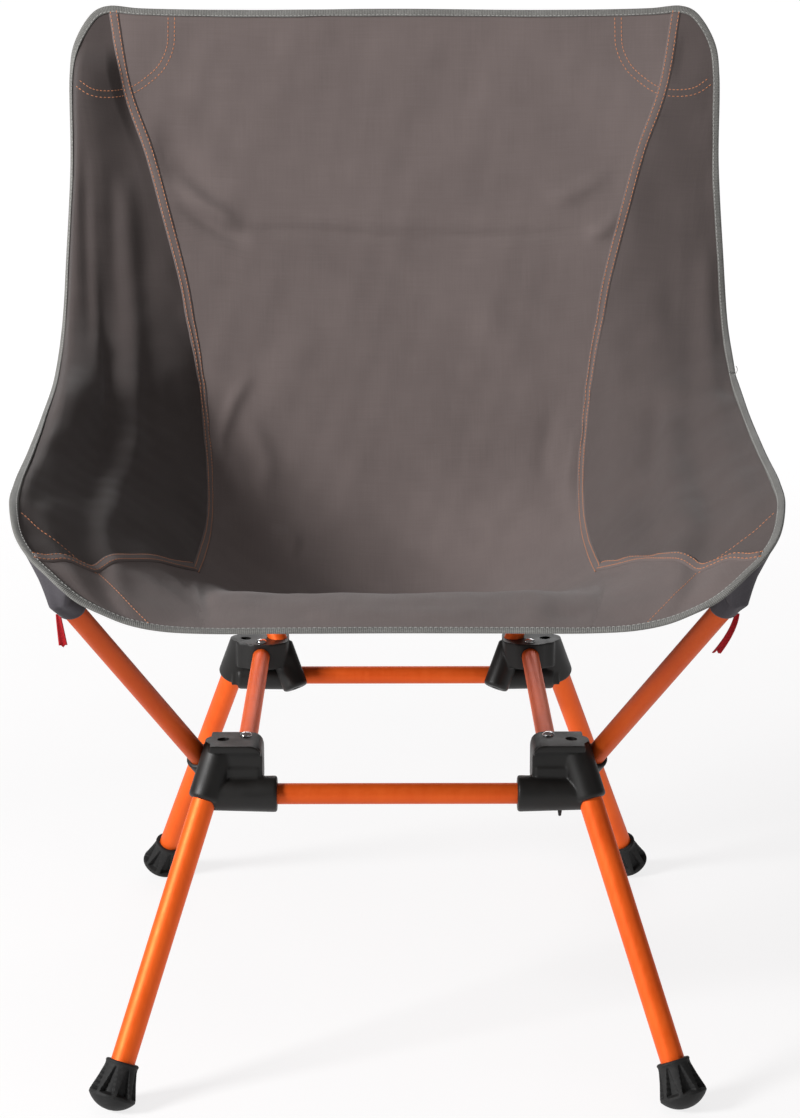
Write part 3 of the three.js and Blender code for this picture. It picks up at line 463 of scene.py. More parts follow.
def sling_points(rows):
    """Points of the sling from fractions of its half width, depth and rise."""
    f = np.asarray(rows, float)
    x, y, z = np.moveaxis(f, -1, 0)
    return np.stack([x * HALF_WIDTH, FRONT_Y + y * (BACK_Y - FRONT_Y), SEAT_FRONT_Z + z * BACK_RISE], -1)


TOP_EDGE = [[0, 1, 0.996], [0.46, 0.996, 0.994], [0.78, 0.99, 0.998], [0.87, 0.988, 1.003]]
SIDE_EDGE = [
    [0.91, 0.987, 0.994],
    [0.947, 0.983, 0.965],
    [0.978, 0.979, 0.92],
    [0.988, 0.972, 0.864],
    [0.988, 0.951, 0.68],
    [0.998, 0.906, 0.494],
    [1, 0.842, 0.369],
    [1, 0.724, 0.279],
    [1, 0.564, 0.239],
    [0.998, 0.385, 0.213],
    [0.994, 0.226, 0.2],
    [0.986, 0.15, 0.185],
    [0.955, 0.083, 0.149],
    [0.912, 0.049, 0.121],
]
FRONT_CORNER = [[0.87, 0.028, 0.102], [0.83, 0.013, 0.082], [0.787, 0.005, 0.061], [0.723, 0, 0.041]]
FRONT_EDGE = [
    [0.662, 0, 0.024],
    [0.588, 0.004, 0.012],
    [0.477, 0.011, 0.005],
    [0.243, 0.022, 0.001],
    [0, 0.026, 0],
]
SEAM = [
    [0.858, 0.987, 0.998],
    [0.817, 0.962, 0.836],
    [0.75, 0.942, 0.707],
    [0.703, 0.921, 0.592],
    [0.645, 0.893, 0.44],
    [0.622, 0.868, 0.362],
    [0.595, 0.835, 0.275],
    [0.574, 0.79, 0.178],
    [0.559, 0.742, 0.112],
    [0.547, 0.67, 0.048],
    [0.542, 0.585, 0.008],
    [0.545, 0.466, -0.008],
    [0.549, 0.36, -0.006],
]
BOTTOM_SEAM = [
    [0.549, 0.36, -0.006],
    [0.587, 0.293, 0.024],
    [0.636, 0.239, 0.052],
    [0.684, 0.188, 0.07],
    [0.725, 0.146, 0.082],
    [0.763, 0.111, 0.076],
    [0.789, 0.098, 0.087],
    [0.832, 0.079, 0.107],
    [0.872, 0.06, 0.112],
    [0.912, 0.049, 0.121],
]
CENTRE_LINE = [
    [0, 1, 0.996],
    [0, 0.987, 0.83],
    [0, 0.962, 0.66],
    [0, 0.922, 0.48],
    [0, 0.862, 0.3],
    [0, 0.79, 0.13],
    [0, 0.71, -0.03],
    [0, 0.61, -0.136],
    [0, 0.5, -0.164],
    [0, 0.38, -0.132],
    [0, 0.28, -0.055],
    [0, 0.19, 0.01],
    [0, 0.1, 0.016],
    [0, 0.026, 0],
]
SEAT_SIDE = [[0.549, 0.36, -0.006], [0.545, 0.25, 0.01], [0.52, 0.13, 0.02], [0.477, 0.011, 0.005]]
SEAT_START = 9


def through(rows):
    return Curve(sling_points(rows))


middle = through(CENTRE_LINE)
middle_split = middle.share_of(sling_points(CENTRE_LINE[SEAT_START]))
seam = through(SEAM)
seat_side = through(SEAT_SIDE)
bottom_seam = through(BOTTOM_SEAM)
side_edge = through(SIDE_EDGE)
corner_edge = through([SIDE_EDGE[-1], *FRONT_CORNER])
front_outer = through([*FRONT_EDGE[:3][::-1], FRONT_CORNER[-1]])
right_half = [*TOP_EDGE, *SIDE_EDGE, *FRONT_CORNER, *FRONT_EDGE]
left_half = [[-x, y, z] for x, y, z in right_half[1:-1][::-1]]
JOIN_AT = len(TOP_EDGE) + 7
outline_rows = [*right_half, *left_half]
outline = through([*outline_rows[JOIN_AT:], *outline_rows[: JOIN_AT + 1]])


# ---------------------------------------------------------------- sling surface
BACK_ROWS = 190
SEAT_ROWS = 64
HALF_COLUMNS = 56
WING_COLUMNS = 40
SIDE_ROWS = 190
SIDE_COLUMNS = 46
CLOTH_THICK = 0.9 * MM


def crowned_grid(centre, side, rows):
    """A strip between the middle line and a side curve and its mirror, crowned like a hammock."""
    v = np.linspace(0, 1, rows)
    mid, edge = centre.at(v)[:, None, :], side.at(v)[:, None, :]
    s = np.linspace(-1, 1, 2 * HALF_COLUMNS + 1)[None, :, None]
    grid = mid + (edge - mid) * np.abs(s) ** CROWN
    grid[..., 0] = edge[..., 0] * s[..., 0]
    return grid


def coons_grid(low, high, start, end, rows, columns):
    """The surface that fills four joined edge curves."""
    u = np.linspace(0, 1, columns)
    v = np.linspace(0, 1, rows)
    a, b = low.at(u)[None], high.at(u)[None]
    c, d = start.at(v)[:, None], end.at(v)[:, None]
    uu, vv = u[None, :, None], v[:, None, None]
    ruled = a * (1 - vv) + b * vv
    across = c * (1 - uu) + d * uu
    p00, p10, p01, p11 = low.at(0.0), low.at(1.0), high.at(0.0), high.at(1.0)
    flat = (p00 * (1 - uu) + p10 * uu) * (1 - vv) + (p01 * (1 - uu) + p11 * uu) * vv
    return ruled + across - flat


def grid_normals(grid):
    along = np.gradient(grid, axis=0)
    across = np.gradient(grid, axis=1)
    return unit(np.cross(along, across))


def grid_cloth(grid):
    """Cloth coordinates of a grid: metres across and metres along."""
    across = np.linalg.norm(np.diff(grid, axis=1), axis=-1)
    along = np.linalg.norm(np.diff(grid, axis=0), axis=-1)
    u = np.concatenate([np.zeros((grid.shape[0], 1)), np.cumsum(across, axis=1)], axis=1)
    v = np.concatenate([np.zeros((1, grid.shape[1])), np.cumsum(along, axis=0)], axis=0)
    u -= u[:, u.shape[1] // 2][:, None]
    return np.stack([u, v, np.zeros_like(u)], -1)


def fold(points, line, width, height, over=0.35):
    """A soft ridge or valley along a line of (x, z) places on the front of the sling."""
    xz = points[..., [0, 2]]
    best = np.full(xz.shape[:-1], 1e9)
    taper = np.zeros_like(best)
    line = np.asarray(line, float)
    lengths = np.concatenate([[0], np.cumsum(np.linalg.norm(np.diff(line, axis=0), axis=1))])
    for k, (a, b) in enumerate(zip(line, line[1:])):
        ab = b - a
        t = np.clip(((xz - a) @ ab) / (ab @ ab), 0, 1)
        d = np.linalg.norm(xz - (a + t[..., None] * ab), axis=-1)
        share = (lengths[k] + t * (lengths[k + 1] - lengths[k])) / lengths[-1]
        ends = smoothstep(share, 0, over) * smoothstep(1 - share, 0, over)
        nearer = d < best
        taper = np.where(nearer, ends, taper)
        best = np.minimum(best, d)
    return height * taper * np.exp(-((best / width) ** 2))


def ripple(points, wavelength, seed, waves=10):
    """Smooth random undulation, between about -1 and 1."""
    draw = random.Random(seed)
    total = np.zeros(points.shape[:-1])
    for _ in range(waves):
        direction = unit([draw.gauss(0, 1) for _ in range(3)])
        direction = direction * (math.tau / wavelength) * draw.uniform(0.6, 1.5)
        total += np.sin(points @ direction + draw.uniform(0, math.tau))
    return total / math.sqrt(waves)


BACK_FOLDS = [
    ([(-0.150, 0.553), (-0.052, 0.552), (-0.012, 0.546), (0.028, 0.550)], 3.0, -1.6),
    ([(0.010, 0.550), (0.060, 0.547), (0.110, 0.549), (0.168, 0.552)], 2.6, -1.2),
    ([(-0.140, 0.559), (0.0, 0.557), (0.150, 0.557)], 8.0, 1.7),
    ([(-0.180, 0.597), (-0.152, 0.572), (-0.118, 0.550)], 7.0, 4.6),
    ([(-0.176, 0.575), (-0.140, 0.553), (-0.112, 0.541)], 6.0, -3.6),
    ([(-0.190, 0.640), (-0.168, 0.600), (-0.140, 0.570)], 14.0, -4.0),
    ([(0.120, 0.573), (0.148, 0.583), (0.176, 0.600)], 7.0, 3.0),
    ([(0.150, 0.546), (0.172, 0.555), (0.190, 0.570)], 6.0, 3.2),
    ([(0.060, 0.500), (0.085, 0.470), (0.120, 0.455)], 12.0, 2.2),
    ([(-0.060, 0.480), (-0.090, 0.440), (-0.100, 0.400)], 16.0, 2.4),
    ([(-0.110, 0.450), (-0.128, 0.423), (-0.138, 0.398), (-0.131, 0.372)], 5.0, 2.6),
    ([(-0.140, 0.395), (-0.131, 0.362), (-0.130, 0.340)], 7.0, -3.5),
    ([(-0.120, 0.420), (-0.100, 0.380), (-0.105, 0.345)], 8.0, 2.2),
    ([(0.146, 0.410), (0.137, 0.372), (0.134, 0.345)], 6.0, 2.6),
    ([(0.128, 0.430), (0.116, 0.385), (0.118, 0.350)], 8.0, -2.0),
    ([(-0.098, 0.340), (-0.078, 0.328), (-0.083, 0.316)], 4.0, 1.8),
    ([(0.060, 0.330), (0.085, 0.345), (0.110, 0.372)], 9.0, 1.8),
]
SIDE_FOLDS = {
    "left": [
        ([(-0.25, 0.70), (-0.248, 0.64), (-0.246, 0.56), (-0.249, 0.47), (-0.244, 0.41)], 30.0, 18.0, 0.1),
        ([(-0.214, 0.600), (-0.210, 0.520), (-0.203, 0.450), (-0.194, 0.380)], 8.0, 4.2, 0.15),
        ([(-0.222, 0.705), (-0.213, 0.690), (-0.212, 0.670)], 9.0, 3.0),
        ([(-0.252, 0.640), (-0.250, 0.540), (-0.250, 0.430)], 4.0, 1.6),
        ([(-0.243, 0.640), (-0.242, 0.520), (-0.240, 0.420)], 4.0, -2.4),
        ([(-0.226, 0.620), (-0.224, 0.520), (-0.218, 0.430), (-0.208, 0.385)], 6.5, -2.6),
        ([(-0.190, 0.470), (-0.180, 0.420), (-0.165, 0.375)], 9.0, 1.6),
    ],
    "right": [
        ([(0.250, 0.560), (0.246, 0.480), (0.240, 0.430)], 7.0, 2.0),
        ([(0.224, 0.540), (0.218, 0.460), (0.205, 0.400)], 9.0, -1.8),
        ([(0.206, 0.450), (0.186, 0.392), (0.160, 0.352)], 6.0, -4.0),
        ([(0.214, 0.440), (0.198, 0.395), (0.176, 0.362)], 6.0, 2.8),
        ([(0.182, 0.480), (0.172, 0.420), (0.160, 0.380)], 8.0, 1.8),
    ],
}


def wrinkled(grid, folds, ripples, keep):
    """The grid moved along its normals by its folds and by fine undulation."""
    normals = grid_normals(grid)
    height = np.zeros(grid.shape[:2])
    for line, width, rise, *over in folds:
        height += fold(grid, line, width * MM, rise * MM, *over)
    for wavelength, size, seed in ripples:
        height += size * MM * ripple(grid, wavelength, seed)
    return grid + normals * (height * keep)[..., None]


def edge_keep(grid, left=0.02, right=0.02, start=0.02, end=0.02):
    """1 inside the grid and 0 on its edges, so that neighbours still meet."""
    at = grid_cloth(grid)
    u, v = at[..., 0], at[..., 1]
    keep = np.ones(u.shape)
    sides = ((u - u[:, :1], left), (u[:, -1:] - u, right), (v - v[:1], start), (v[-1:] - v, end))
    for distance, reach in sides:
        keep *= smoothstep(distance, 0, reach)
    return keep


def cloth_piece(name, grids, material):
    """Grids welded along their common edges into one sheet, then given its thickness."""
    points, faces, places, first = [], [], [], 0
    for grid in grids:
        rows, columns = grid.shape[:2]
        points.append(grid.reshape(-1, 3))
        places.append(grid_cloth(grid).reshape(-1, 3))
        faces += grid_faces(rows, columns, first=first)
        first += rows * columns
    piece = mesh_piece(name, np.concatenate(points), faces, material, cloth_at=np.concatenate(places))
    work = bmesh.new()
    work.from_mesh(piece.data)
    bmesh.ops.remove_doubles(work, verts=work.verts, dist=0.3 * MM)
    work.to_mesh(piece.data)
    work.free()
    thicken(piece, CLOTH_THICK)
    return piece


def sling_grids():
    """The back, the seat, and the right-hand wing and side panel, before they are wrinkled."""
    back = crowned_grid(middle.part(0, middle_split), seam, BACK_ROWS)
    top = np.linspace(0, 1, BACK_ROWS)[:, None]
    across = np.linspace(-1, 1, 2 * HALF_COLUMNS + 1)
    top_curve = through([*TOP_EDGE[:3], SEAM[0]])
    wanted = top_curve.at(np.abs(across))
    wanted[:, 0] = back[0, :, 0]
    share = np.abs(wanted[:, 0]) / wanted[-1, 0]
    top_share = np.abs(top_curve.points[:, 0]) / wanted[-1, 0]
    lift = np.interp(share, top_share, top_curve.points[:, 2]) - back[0, :, 2]
    back[..., 2] += lift[None, :] * (1 - smoothstep(top, 0, 0.08))
    seat = crowned_grid(middle.part(middle_split, 1), seat_side, SEAT_ROWS)
    wing = coons_grid(bottom_seam, front_outer, seat_side, corner_edge, SEAT_ROWS, WING_COLUMNS)
    top_line = Curve(np.stack([seam.at(0.0), (seam.at(0.0) + side_edge.at(0.0)) / 2, side_edge.at(0.0)]))
    side = coons_grid(top_line, bottom_seam, seam, side_edge, SIDE_ROWS, SIDE_COLUMNS)
    return back, seat, wing, side


def flip_x(grid):
    """The grid's mirror image, still facing the same way."""
    return (grid * [-1, 1, 1])[:, ::-1]


def make_sling():
    """The centre panel with its wings, then the right and left side panels."""
    back, seat, wing, side = sling_grids()
    fine = [(0.075, 0.55, 3), (0.030, 0.22, 5)]
    body = np.concatenate([back, seat[1:]])
    body = wrinkled(body, BACK_FOLDS, fine, edge_keep(body, 0.012, 0.012, 0.02, 0.03))
    wings = []
    for sign in SIDES.values():
        part = wing if sign > 0 else flip_x(wing)
        wings.append(wrinkled(part, [], [(0.05, 0.6, 11 + sign)], edge_keep(part)))
    pieces = [cloth_piece("centre_panel", [body, *wings], cloth)]
    for side_name, sign in SIDES.items():
        part = side if sign > 0 else flip_x(side)
        keep = edge_keep(part, 0.012, 0.012, 0.03, 0.012)
        part = wrinkled(part, SIDE_FOLDS[side_name], [(0.06, 0.7, 21 + sign), (0.03, 0.25, 25 + sign)], keep)
        pieces.append(cloth_piece(f"side_panel_{side_name}", [part], side_cloth_with_painted_shade[side_name]))
    return pieces


# ---------------------------------------------------------------- sewing on the sling
IN_FRONT_Y = -0.6


class Surface:
    """The sling's cloth as one surface that things are laid on. Normals point to the sitter."""

    def __init__(self, pieces):
        points, faces = [], []
        for piece in pieces:
            first = len(points)
            points += [v.co.copy() for v in piece.data.vertices]
            faces += [tuple(first + k for k in p.vertices) for p in piece.data.polygons]
        self.tree = BVHTree.FromPolygons(points, faces)

    def nearest(self, point):
        place, normal, _, _ = self.tree.find_nearest(Vector(point))
        return np.array(place), np.array(normal)

    def from_front(self, x, z):
        """Where a line straight back from the front meets the sling."""
        place, normal, _, _ = self.tree.ray_cast(Vector((x, IN_FRONT_Y, z)), Vector((0, 1, 0)))
        return (None, None) if place is None else (np.array(place), np.array(normal))

    def laid(self, path):
        """A path dropped on the surface, with the normals, sideways directions and tangents there."""
        found = [self.nearest(p) for p in path]
        places = np.array([f[0] for f in found])
        normals = unit(smooth_rows(np.array([f[1] for f in found]), 2))
        tangents = unit(np.gradient(places, axis=0))
        return places, normals, unit(np.cross(tangents, normals)), tangents


def smooth_rows(rows, times):
    """The rows blurred along their length, with both ends held."""
    for _ in range(times):
        rows = np.concatenate([rows[:1], (rows[:-2] + rows[1:-1] * 2 + rows[2:]) / 4, rows[-1:]])
    return rows


def resampled(path, step):
    """The path as evenly spaced points, about a step apart."""
    path = np.asarray(path, float)
    reach = np.concatenate([[0], np.cumsum(np.linalg.norm(np.diff(path, axis=0), axis=1))])
    count = max(2, int(round(reach[-1] / step)) + 1)
    at = np.linspace(0, reach[-1], count)
    return np.stack([np.interp(at, reach, path[:, k]) for k in range(3)], -1)


STITCH_PITCH = 3.3 * MM
STITCH_LENGTH = 2.5 * MM
THREAD_R = 0.34 * MM
STITCH_SIDES = 6
STITCH_RINGS = [(0.0, 0.25), (0.12, 0.8), (0.35, 1.0), (0.65, 1.0), (0.88, 0.8), (1.0, 0.25)]


def add_stitch(points, faces, middle, run, side, up, radius=THREAD_R, sink=1.4):
    """Adds one stitch, a short length of thread whose ends dip into the cloth."""
    start = middle - run * STITCH_LENGTH / 2
    faces += grid_faces(len(STITCH_RINGS), STITCH_SIDES, wrap_columns=True, capped=True, first=len(points))
    for share, size in STITCH_RINGS:
        centre = start + run * STITCH_LENGTH * share - up * (1 - size) * THREAD_R * sink
        for a in np.linspace(0, math.tau, STITCH_SIDES, endpoint=False):
            points.append(centre + (side * math.cos(a) + up * math.sin(a)) * radius * size)


def stitch_row(surface, path, offset, height, points, faces, both_sides=True):
    """Adds one row of stitches beside a path, on the sitter's face of the cloth or on both."""
    path = resampled(path, STITCH_PITCH)
    places, _, sideways, tangents = surface.laid(path)
    for place, side, run in zip(places, sideways, tangents):
        place, normal = surface.nearest(place + side * offset)
        for up in (normal, -normal) if both_sides else (normal,):
            add_stitch(points, faces, place + up * height, run, side, up)


def strip(surface, path, low, high, thick, name, material, step=3 * MM):
    """A band of cloth laid along a path, from low to high beside it, closed round its edges."""
    places, _, sideways, _ = surface.laid(resampled(path, step))
    offsets = np.linspace(low, high, 7)
    lift = np.array([0.3, 0.9, 1.0, 1.0, 1.0, 0.9, 0.3]) * thick + CLOTH_THICK / 2
    rows, cloth_rows, along = [], [], 0
    for i, (place, side) in enumerate(zip(places, sideways)):
        along += np.linalg.norm(places[i] - places[i - 1]) if i else 0
        top, bottom = [], []
        for offset, rise in zip(offsets, lift):
            at, normal = surface.nearest(place + side * offset)
            top.append(at + normal * rise)
            bottom.append(at - normal * (CLOTH_THICK * 0.3))
        rows.append(top + bottom[::-1])
        cloth_rows.append([(o, along, 0) for o in offsets] + [(o, along, 0) for o in offsets[::-1]])
    count = len(rows[0])
    faces = grid_faces(len(rows), count, wrap_columns=True, capped=True)
    piece = mesh_piece(name, np.concatenate(rows), faces, material, cloth_at=np.concatenate(cloth_rows))
    face_out(piece)
    return piece


def mirrored_path(path, sign):
    return np.asarray(path, float) * [sign, 1, 1]


SEAM_STITCH = 2.4 * MM
SEAM_BAND = 3.9 * MM
SEAM_THICK = 0.7 * MM
HEM_THICK = 1.3 * MM
HEM_ABOVE = 1.2 * MM
HEM_BELOW = 8.0 * MM
HEM_STITCHES = (1.0 * MM, 6.2 * MM)
CORNER_ARC = [
    (0.1785, 0.7205),
    (0.1787, 0.7087),
    (0.1793, 0.6969),
    (0.1823, 0.6875),
    (0.1881, 0.678),
    (0.1979, 0.6693),
    (0.2076, 0.663),
    (0.2165, 0.6602),
    (0.2326, 0.6598),
    (0.2421, 0.6622),
    (0.2505, 0.6677),
]
ARC_STITCH = 2.6 * MM


def corner_arc(surface, sign):
    """Places on the line that rounds off the sling's top corner, seen from the front."""
    line = Curve([(sign * x, 0.25, z) for x, z in CORNER_ARC])
    found = [surface.from_front(x, z)[0] for x, _, z in line.at(np.linspace(0, 1, 90))]
    return np.array([p for p in found if p is not None])


def front_line(surface, places, sign):
    """A smooth line through places near the front of the seat, each dropped on the cloth first."""
    line = Curve([surface.nearest((sign * x, y + SHIFT_Y, z))[0] for x, y, z in places])
    return line.at(np.linspace(0, 1, 60))


PATCH_LINE = [(0.198, -0.214, 0.374), (0.184, -0.236, 0.366), (0.172, -0.252, 0.359), (0.162, -0.263, 0.354)]
PATCH_FOLD = [(0.250, -0.196, 0.412), (0.238, -0.204, 0.400), (0.222, -0.208, 0.388), (0.200, -0.214, 0.376)]


def sew(surface):
    """Seam bands, hems and every row of stitches."""
    points, faces = [], []
    for name, sign in SIDES.items():
        seam_path = mirrored_path(seam.at(np.linspace(0.004, 1, 200)), sign)
        band = strip(surface, seam_path, -SEAM_BAND, SEAM_BAND, SEAM_THICK, f"seam_band_{name}", cloth)
        settle(band, "frame", "sling_fabric")
        for offset in (-SEAM_STITCH, SEAM_STITCH):
            stitch_row(surface, seam_path, offset, SEAM_THICK + CLOTH_THICK / 2, points, faces)
        hem_path = mirrored_path(bottom_seam.at(np.linspace(0.0, 0.985, 90)), sign)
        inner, outer = sorted((sign * HEM_ABOVE, -sign * HEM_BELOW))
        hem = strip(surface, hem_path, inner, outer, HEM_THICK, f"hem_{name}", cloth, 2.4 * MM)
        settle(hem, "frame", "sling_fabric")
        for offset in HEM_STITCHES:
            stitch_row(surface, hem_path, -sign * offset, HEM_THICK + CLOTH_THICK / 2, points, faces)
        for offset in (-ARC_STITCH, ARC_STITCH):
            stitch_row(surface, corner_arc(surface, sign), offset, CLOTH_THICK / 2, points, faces)
        for line in (PATCH_LINE, PATCH_FOLD):
            path = front_line(surface, line, sign)
            stitch_row(surface, path, 0, CLOTH_THICK / 2, points, faces, both_sides=False)
    thread = mesh_piece("orange_stitching", points, faces, orange_thread)
    face_out(thread)
    settle(thread, "frame", "sling_fabric")


# ---------------------------------------------------------------- edge binding
TAPE_IN = 4.9 * MM
TAPE_OUT = 0.9 * MM
TAPE_HALF = 1.35 * MM
TAPE_FACE = [
    (TAPE_IN, 0.82),
    (TAPE_IN * 0.8, 0.95),
    (TAPE_IN * 0.55, 1.0),
    (TAPE_IN * 0.3, 1.0),
    (0.0, 0.92),
    (-TAPE_OUT * 0.75, 0.55),
]
TAPE_SECTION = [*TAPE_FACE, (-TAPE_OUT, 0.0), *[(reach, -height) for reach, height in TAPE_FACE[::-1]]]
TAPE_THICK = 0.55 * MM
TAPE_STEP = 2.6 * MM
TAPE_STITCH_IN = 3.9 * MM
TAPE_PROBE = 9 * MM
SLING_MIDDLE = np.array([0, 0.05, 0.44])
LOOSE_THREAD = [(0, 0, 0), (2, -2, 1.5), (3.5, -2.6, 5), (2.2, -3, 8)]


def square_to(vectors, tangents):
    return unit(vectors - tangents * np.sum(vectors * tangents, axis=1)[:, None])


def edge_frame(surface):
    """Places round the sling's edge, the directions into the cloth there and the cloth's normals."""
    path = outline.at(np.linspace(0, 1, int(outline.length / TAPE_STEP)))
    path[-1] = path[0]
    tangents = unit(np.roll(path, -1, 0) - np.roll(path, 1, 0))
    tangents[0] = tangents[-1] = unit(path[1] - path[-2])
    inward = square_to(unit(SLING_MIDDLE - path), tangents)
    inward = np.array([surface.nearest(p + d * TAPE_PROBE)[0] for p, d in zip(path, inward)]) - path
    inward = square_to(inward, tangents)
    for _ in range(6):
        inward = unit(np.roll(inward, 1, 0) + inward * 2 + np.roll(inward, -1, 0))
    return path, inward, unit(np.cross(tangents, inward))


def make_tape(path, inward, normals):
    """The tape folded over the whole edge."""
    along = np.cumsum(np.linalg.norm(np.diff(path, axis=0, prepend=path[:1]), axis=1))
    wobble = 1 + 0.05 * ripple(path, 0.05, 41)
    rows, places = [], []
    for p, a, n, run, w in zip(path[:-1], inward, normals, along, wobble):
        rows.append([p + a * (i * w) + n * (h * TAPE_HALF) for i, h in TAPE_SECTION])
        places.append([(i, run, 0) for i, _ in TAPE_SECTION])
    faces = grid_faces(len(rows), len(TAPE_SECTION), wrap_rows=True)
    tape = mesh_piece("edge_tape", np.concatenate(rows), faces, binding_tape, cloth_at=np.concatenate(places))
    face_out(tape)
    thicken(tape, TAPE_THICK, offset=-1)
    settle(tape, "frame", "binding_tape", "edge_binding")


def make_loose_thread(end):
    """The thread that was left uncut at the tape's join."""
    line = Curve([end + np.array(bend) * MM for bend in LOOSE_THREAD])
    fray = swept_tube("loose_thread", line.at(np.linspace(0, 1, 30)), 0.3 * MM, 0.05 * MM, 10, grey_thread)
    settle(fray, "frame", "binding_tape")


def stitch_tape(path, inward, normals):
    """One row of stitches round the tape, on both its faces."""
    points, faces = [], []
    row = path + inward * TAPE_STITCH_IN
    places = resampled(row, STITCH_PITCH)
    for place, run in zip(places, unit(np.gradient(places, axis=0))):
        normal = normals[np.argmin(np.linalg.norm(row - place, axis=1))]
        side = np.cross(run, normal)
        for up in (normal, -normal):
            middle_at = place + up * (TAPE_HALF * 0.95)
            add_stitch(points, faces, middle_at, run, side, up, THREAD_R * 0.9, 1.0)
    thread = mesh_piece("tape_stitching", points, faces, grey_thread)
    face_out(thread)
    settle(thread, "frame", "binding_tape")


def make_binding(surface):
    path, inward, normals = edge_frame(surface)
    make_tape(path, inward, normals)
    make_loose_thread(path[0] + inward[0] * 2 * MM)
    stitch_tape(path, inward, normals)


# ---------------------------------------------------------------- tubes
def axis_of(node):
    """Start, end and outer radius of a straight CAD tube, from the rings at its two ends."""
    points = np.array([v.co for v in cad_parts[node].data.vertices], float)
    centre = points.mean(0)
    direction = np.linalg.svd(points - centre, full_matrices=False)[2][0]
    for _ in range(2):
        t = (points - centre) @ direction
        low = points[t < t.min() + 0.2 * MM].mean(0)
        high = points[t > t.max() - 0.2 * MM].mean(0)
        centre, direction = low, unit(high - low)
    t = (points - low) @ direction
    radius = np.linalg.norm(points - low - t[:, None] * direction, axis=1).max()
    if low[2] < high[2] - MM:
        low, high = high, low
    return low, high, radius


TUBE_SIDES = 56
LEG_WALL = 1.2 * MM
POLE_SPLIT = 0.5
POLE_GAP = 0.0005


def tube_profile(radius, wall, length, rim=0.25 * MM):
    inner = radius - wall
    return [
        (inner, rim),
        (inner + rim, 0),
        (radius - rim, 0),
        (radius, rim),
        (radius, length - rim),
        (radius - rim, length),
        (inner + rim, length),
        (inner, length - rim),
    ]


def straight_tube(node, body, wall=1.0 * MM, paint=tube_paint):
    start, end, radius = axis_of(node)
    profile = tube_profile(radius, wall, np.linalg.norm(end - start))
    piece = turned(f"tube_{node}", profile, start, end - start, TUBE_SIDES, paint, closed=True)
    soften_edges(piece)
    settle(piece, body, "tube_anodised", node)


BACK_MOUTH = np.array([0.0913, 0.137 + SHIFT_Y, 0.229])
BACK_LEAN = unit([0.4, 0.4, 1])
BACK_TIP = sling_points([TOP_EDGE[-1]])[0] + np.array([3, 11.4, -14]) * MM
POLE_R = 7.25 * MM
POLE_DEPTH = 27 * MM


def back_pole_points(start, end, count):
    """Points of the bent back pole between two shares of its curve; below 0 it is straight in its socket."""
    rise = (BACK_TIP[2] - BACK_MOUTH[2]) / 2
    bend = BACK_MOUTH + BACK_LEAN * rise / BACK_LEAN[2]
    t = np.linspace(start, end, count)[:, None]
    curve = BACK_MOUTH * (1 - t) ** 2 + 2 * bend * t * (1 - t) + BACK_TIP * t**2
    return np.where(t < 0, BACK_MOUTH + BACK_LEAN * t * POLE_DEPTH, curve)


def swept_tube(name, path, outer, inner, sides, material):
    """A hollow tube along a smooth path."""
    tangents = unit(np.gradient(path, axis=0))
    a, _ = cross_axes(tangents[0])
    rows = []
    for p, t in zip(path, tangents):
        a = unit(a - t * (a @ t))
        b = np.cross(t, a)
        angles = np.linspace(0, math.tau, sides, endpoint=False)
        ring = np.cos(angles)[:, None] * a + np.sin(angles)[:, None] * b
        rows.append((p, ring))
    outside = [p + r * outer for p, r in rows]
    inside = [p + r * inner for p, r in rows][::-1]
    faces = grid_faces(2 * len(path), sides, wrap_rows=True, wrap_columns=True)
    piece = mesh_piece(name, np.concatenate(outside + inside), faces, material)
    face_out(piece)
    soften_edges(piece)
    return piece


def make_tubes():
    for side in SIDES:
        straight_tube(f"front_leg_{side}", f"front_leg_{side}", LEG_WALL)
        straight_tube(f"rear_leg_{side}", f"rear_leg_{side}", LEG_WALL)
        straight_tube(f"side_rail_{side}", "frame")
        straight_tube(f"seat_pole_{side}", "frame", paint=pole_paint_with_painted_shade)
    straight_tube("front_crossbar", "frame", paint=bar_paint_with_painted_shade)
    straight_tube("rear_crossbar", "frame", paint=bar_paint_with_painted_shade)
    spans = {"lower": (-1, POLE_SPLIT - POLE_GAP, 60), "upper": (POLE_SPLIT + POLE_GAP, 1, 50)}
    halves = {
        part: swept_tube(f"pole_{part}_right", back_pole_points(*span), POLE_R, POLE_R - MM, 48, tube_paint)
        for part, span in spans.items()
    }
    for part, piece in halves.items():
        other = mirror_piece(piece, f"pole_{part}_left")
        settle(piece, "frame", "tube_anodised", f"back_pole_{part}_right")
        settle(other, "frame", "tube_anodised", f"back_pole_{part}_left")


# ---------------------------------------------------------------- hubs
WALL = 2.9 * MM
FIT = 0.35 * MM
HUB_TOP = 0.237
ROUND = 2.2 * MM
VOXEL = 0.75 * MM
HUB_DEPTH = 30 * MM
SEATING = 0.3 * MM
BAR_MOUTH_X = 0.084
BAR_BOSS_REACH = 14.9 * MM
LEG_INSERT = 8 * MM
BOSS_ABOVE_LEG = 7 * MM
POLE_BOSS_R = POLE_R + FIT + WALL - 0.4 * MM


def boss(start, end, radius, end_radius=None):
    """A round-ended cylinder for a moulded socket."""
    length = np.linalg.norm(np.asarray(end) - start)
    end_radius = end_radius or radius
    profile = [
        (radius - ROUND, 0),
        (radius - ROUND * 0.3, ROUND * 0.3),
        (radius, ROUND),
        (end_radius, length - ROUND * 0.5),
        (end_radius - ROUND * 0.25, length - ROUND * 0.12),
        (end_radius - ROUND * 0.6, length),
    ]
    return turned("boss", profile, start, np.asarray(end) - start, 64, hub_plastic)


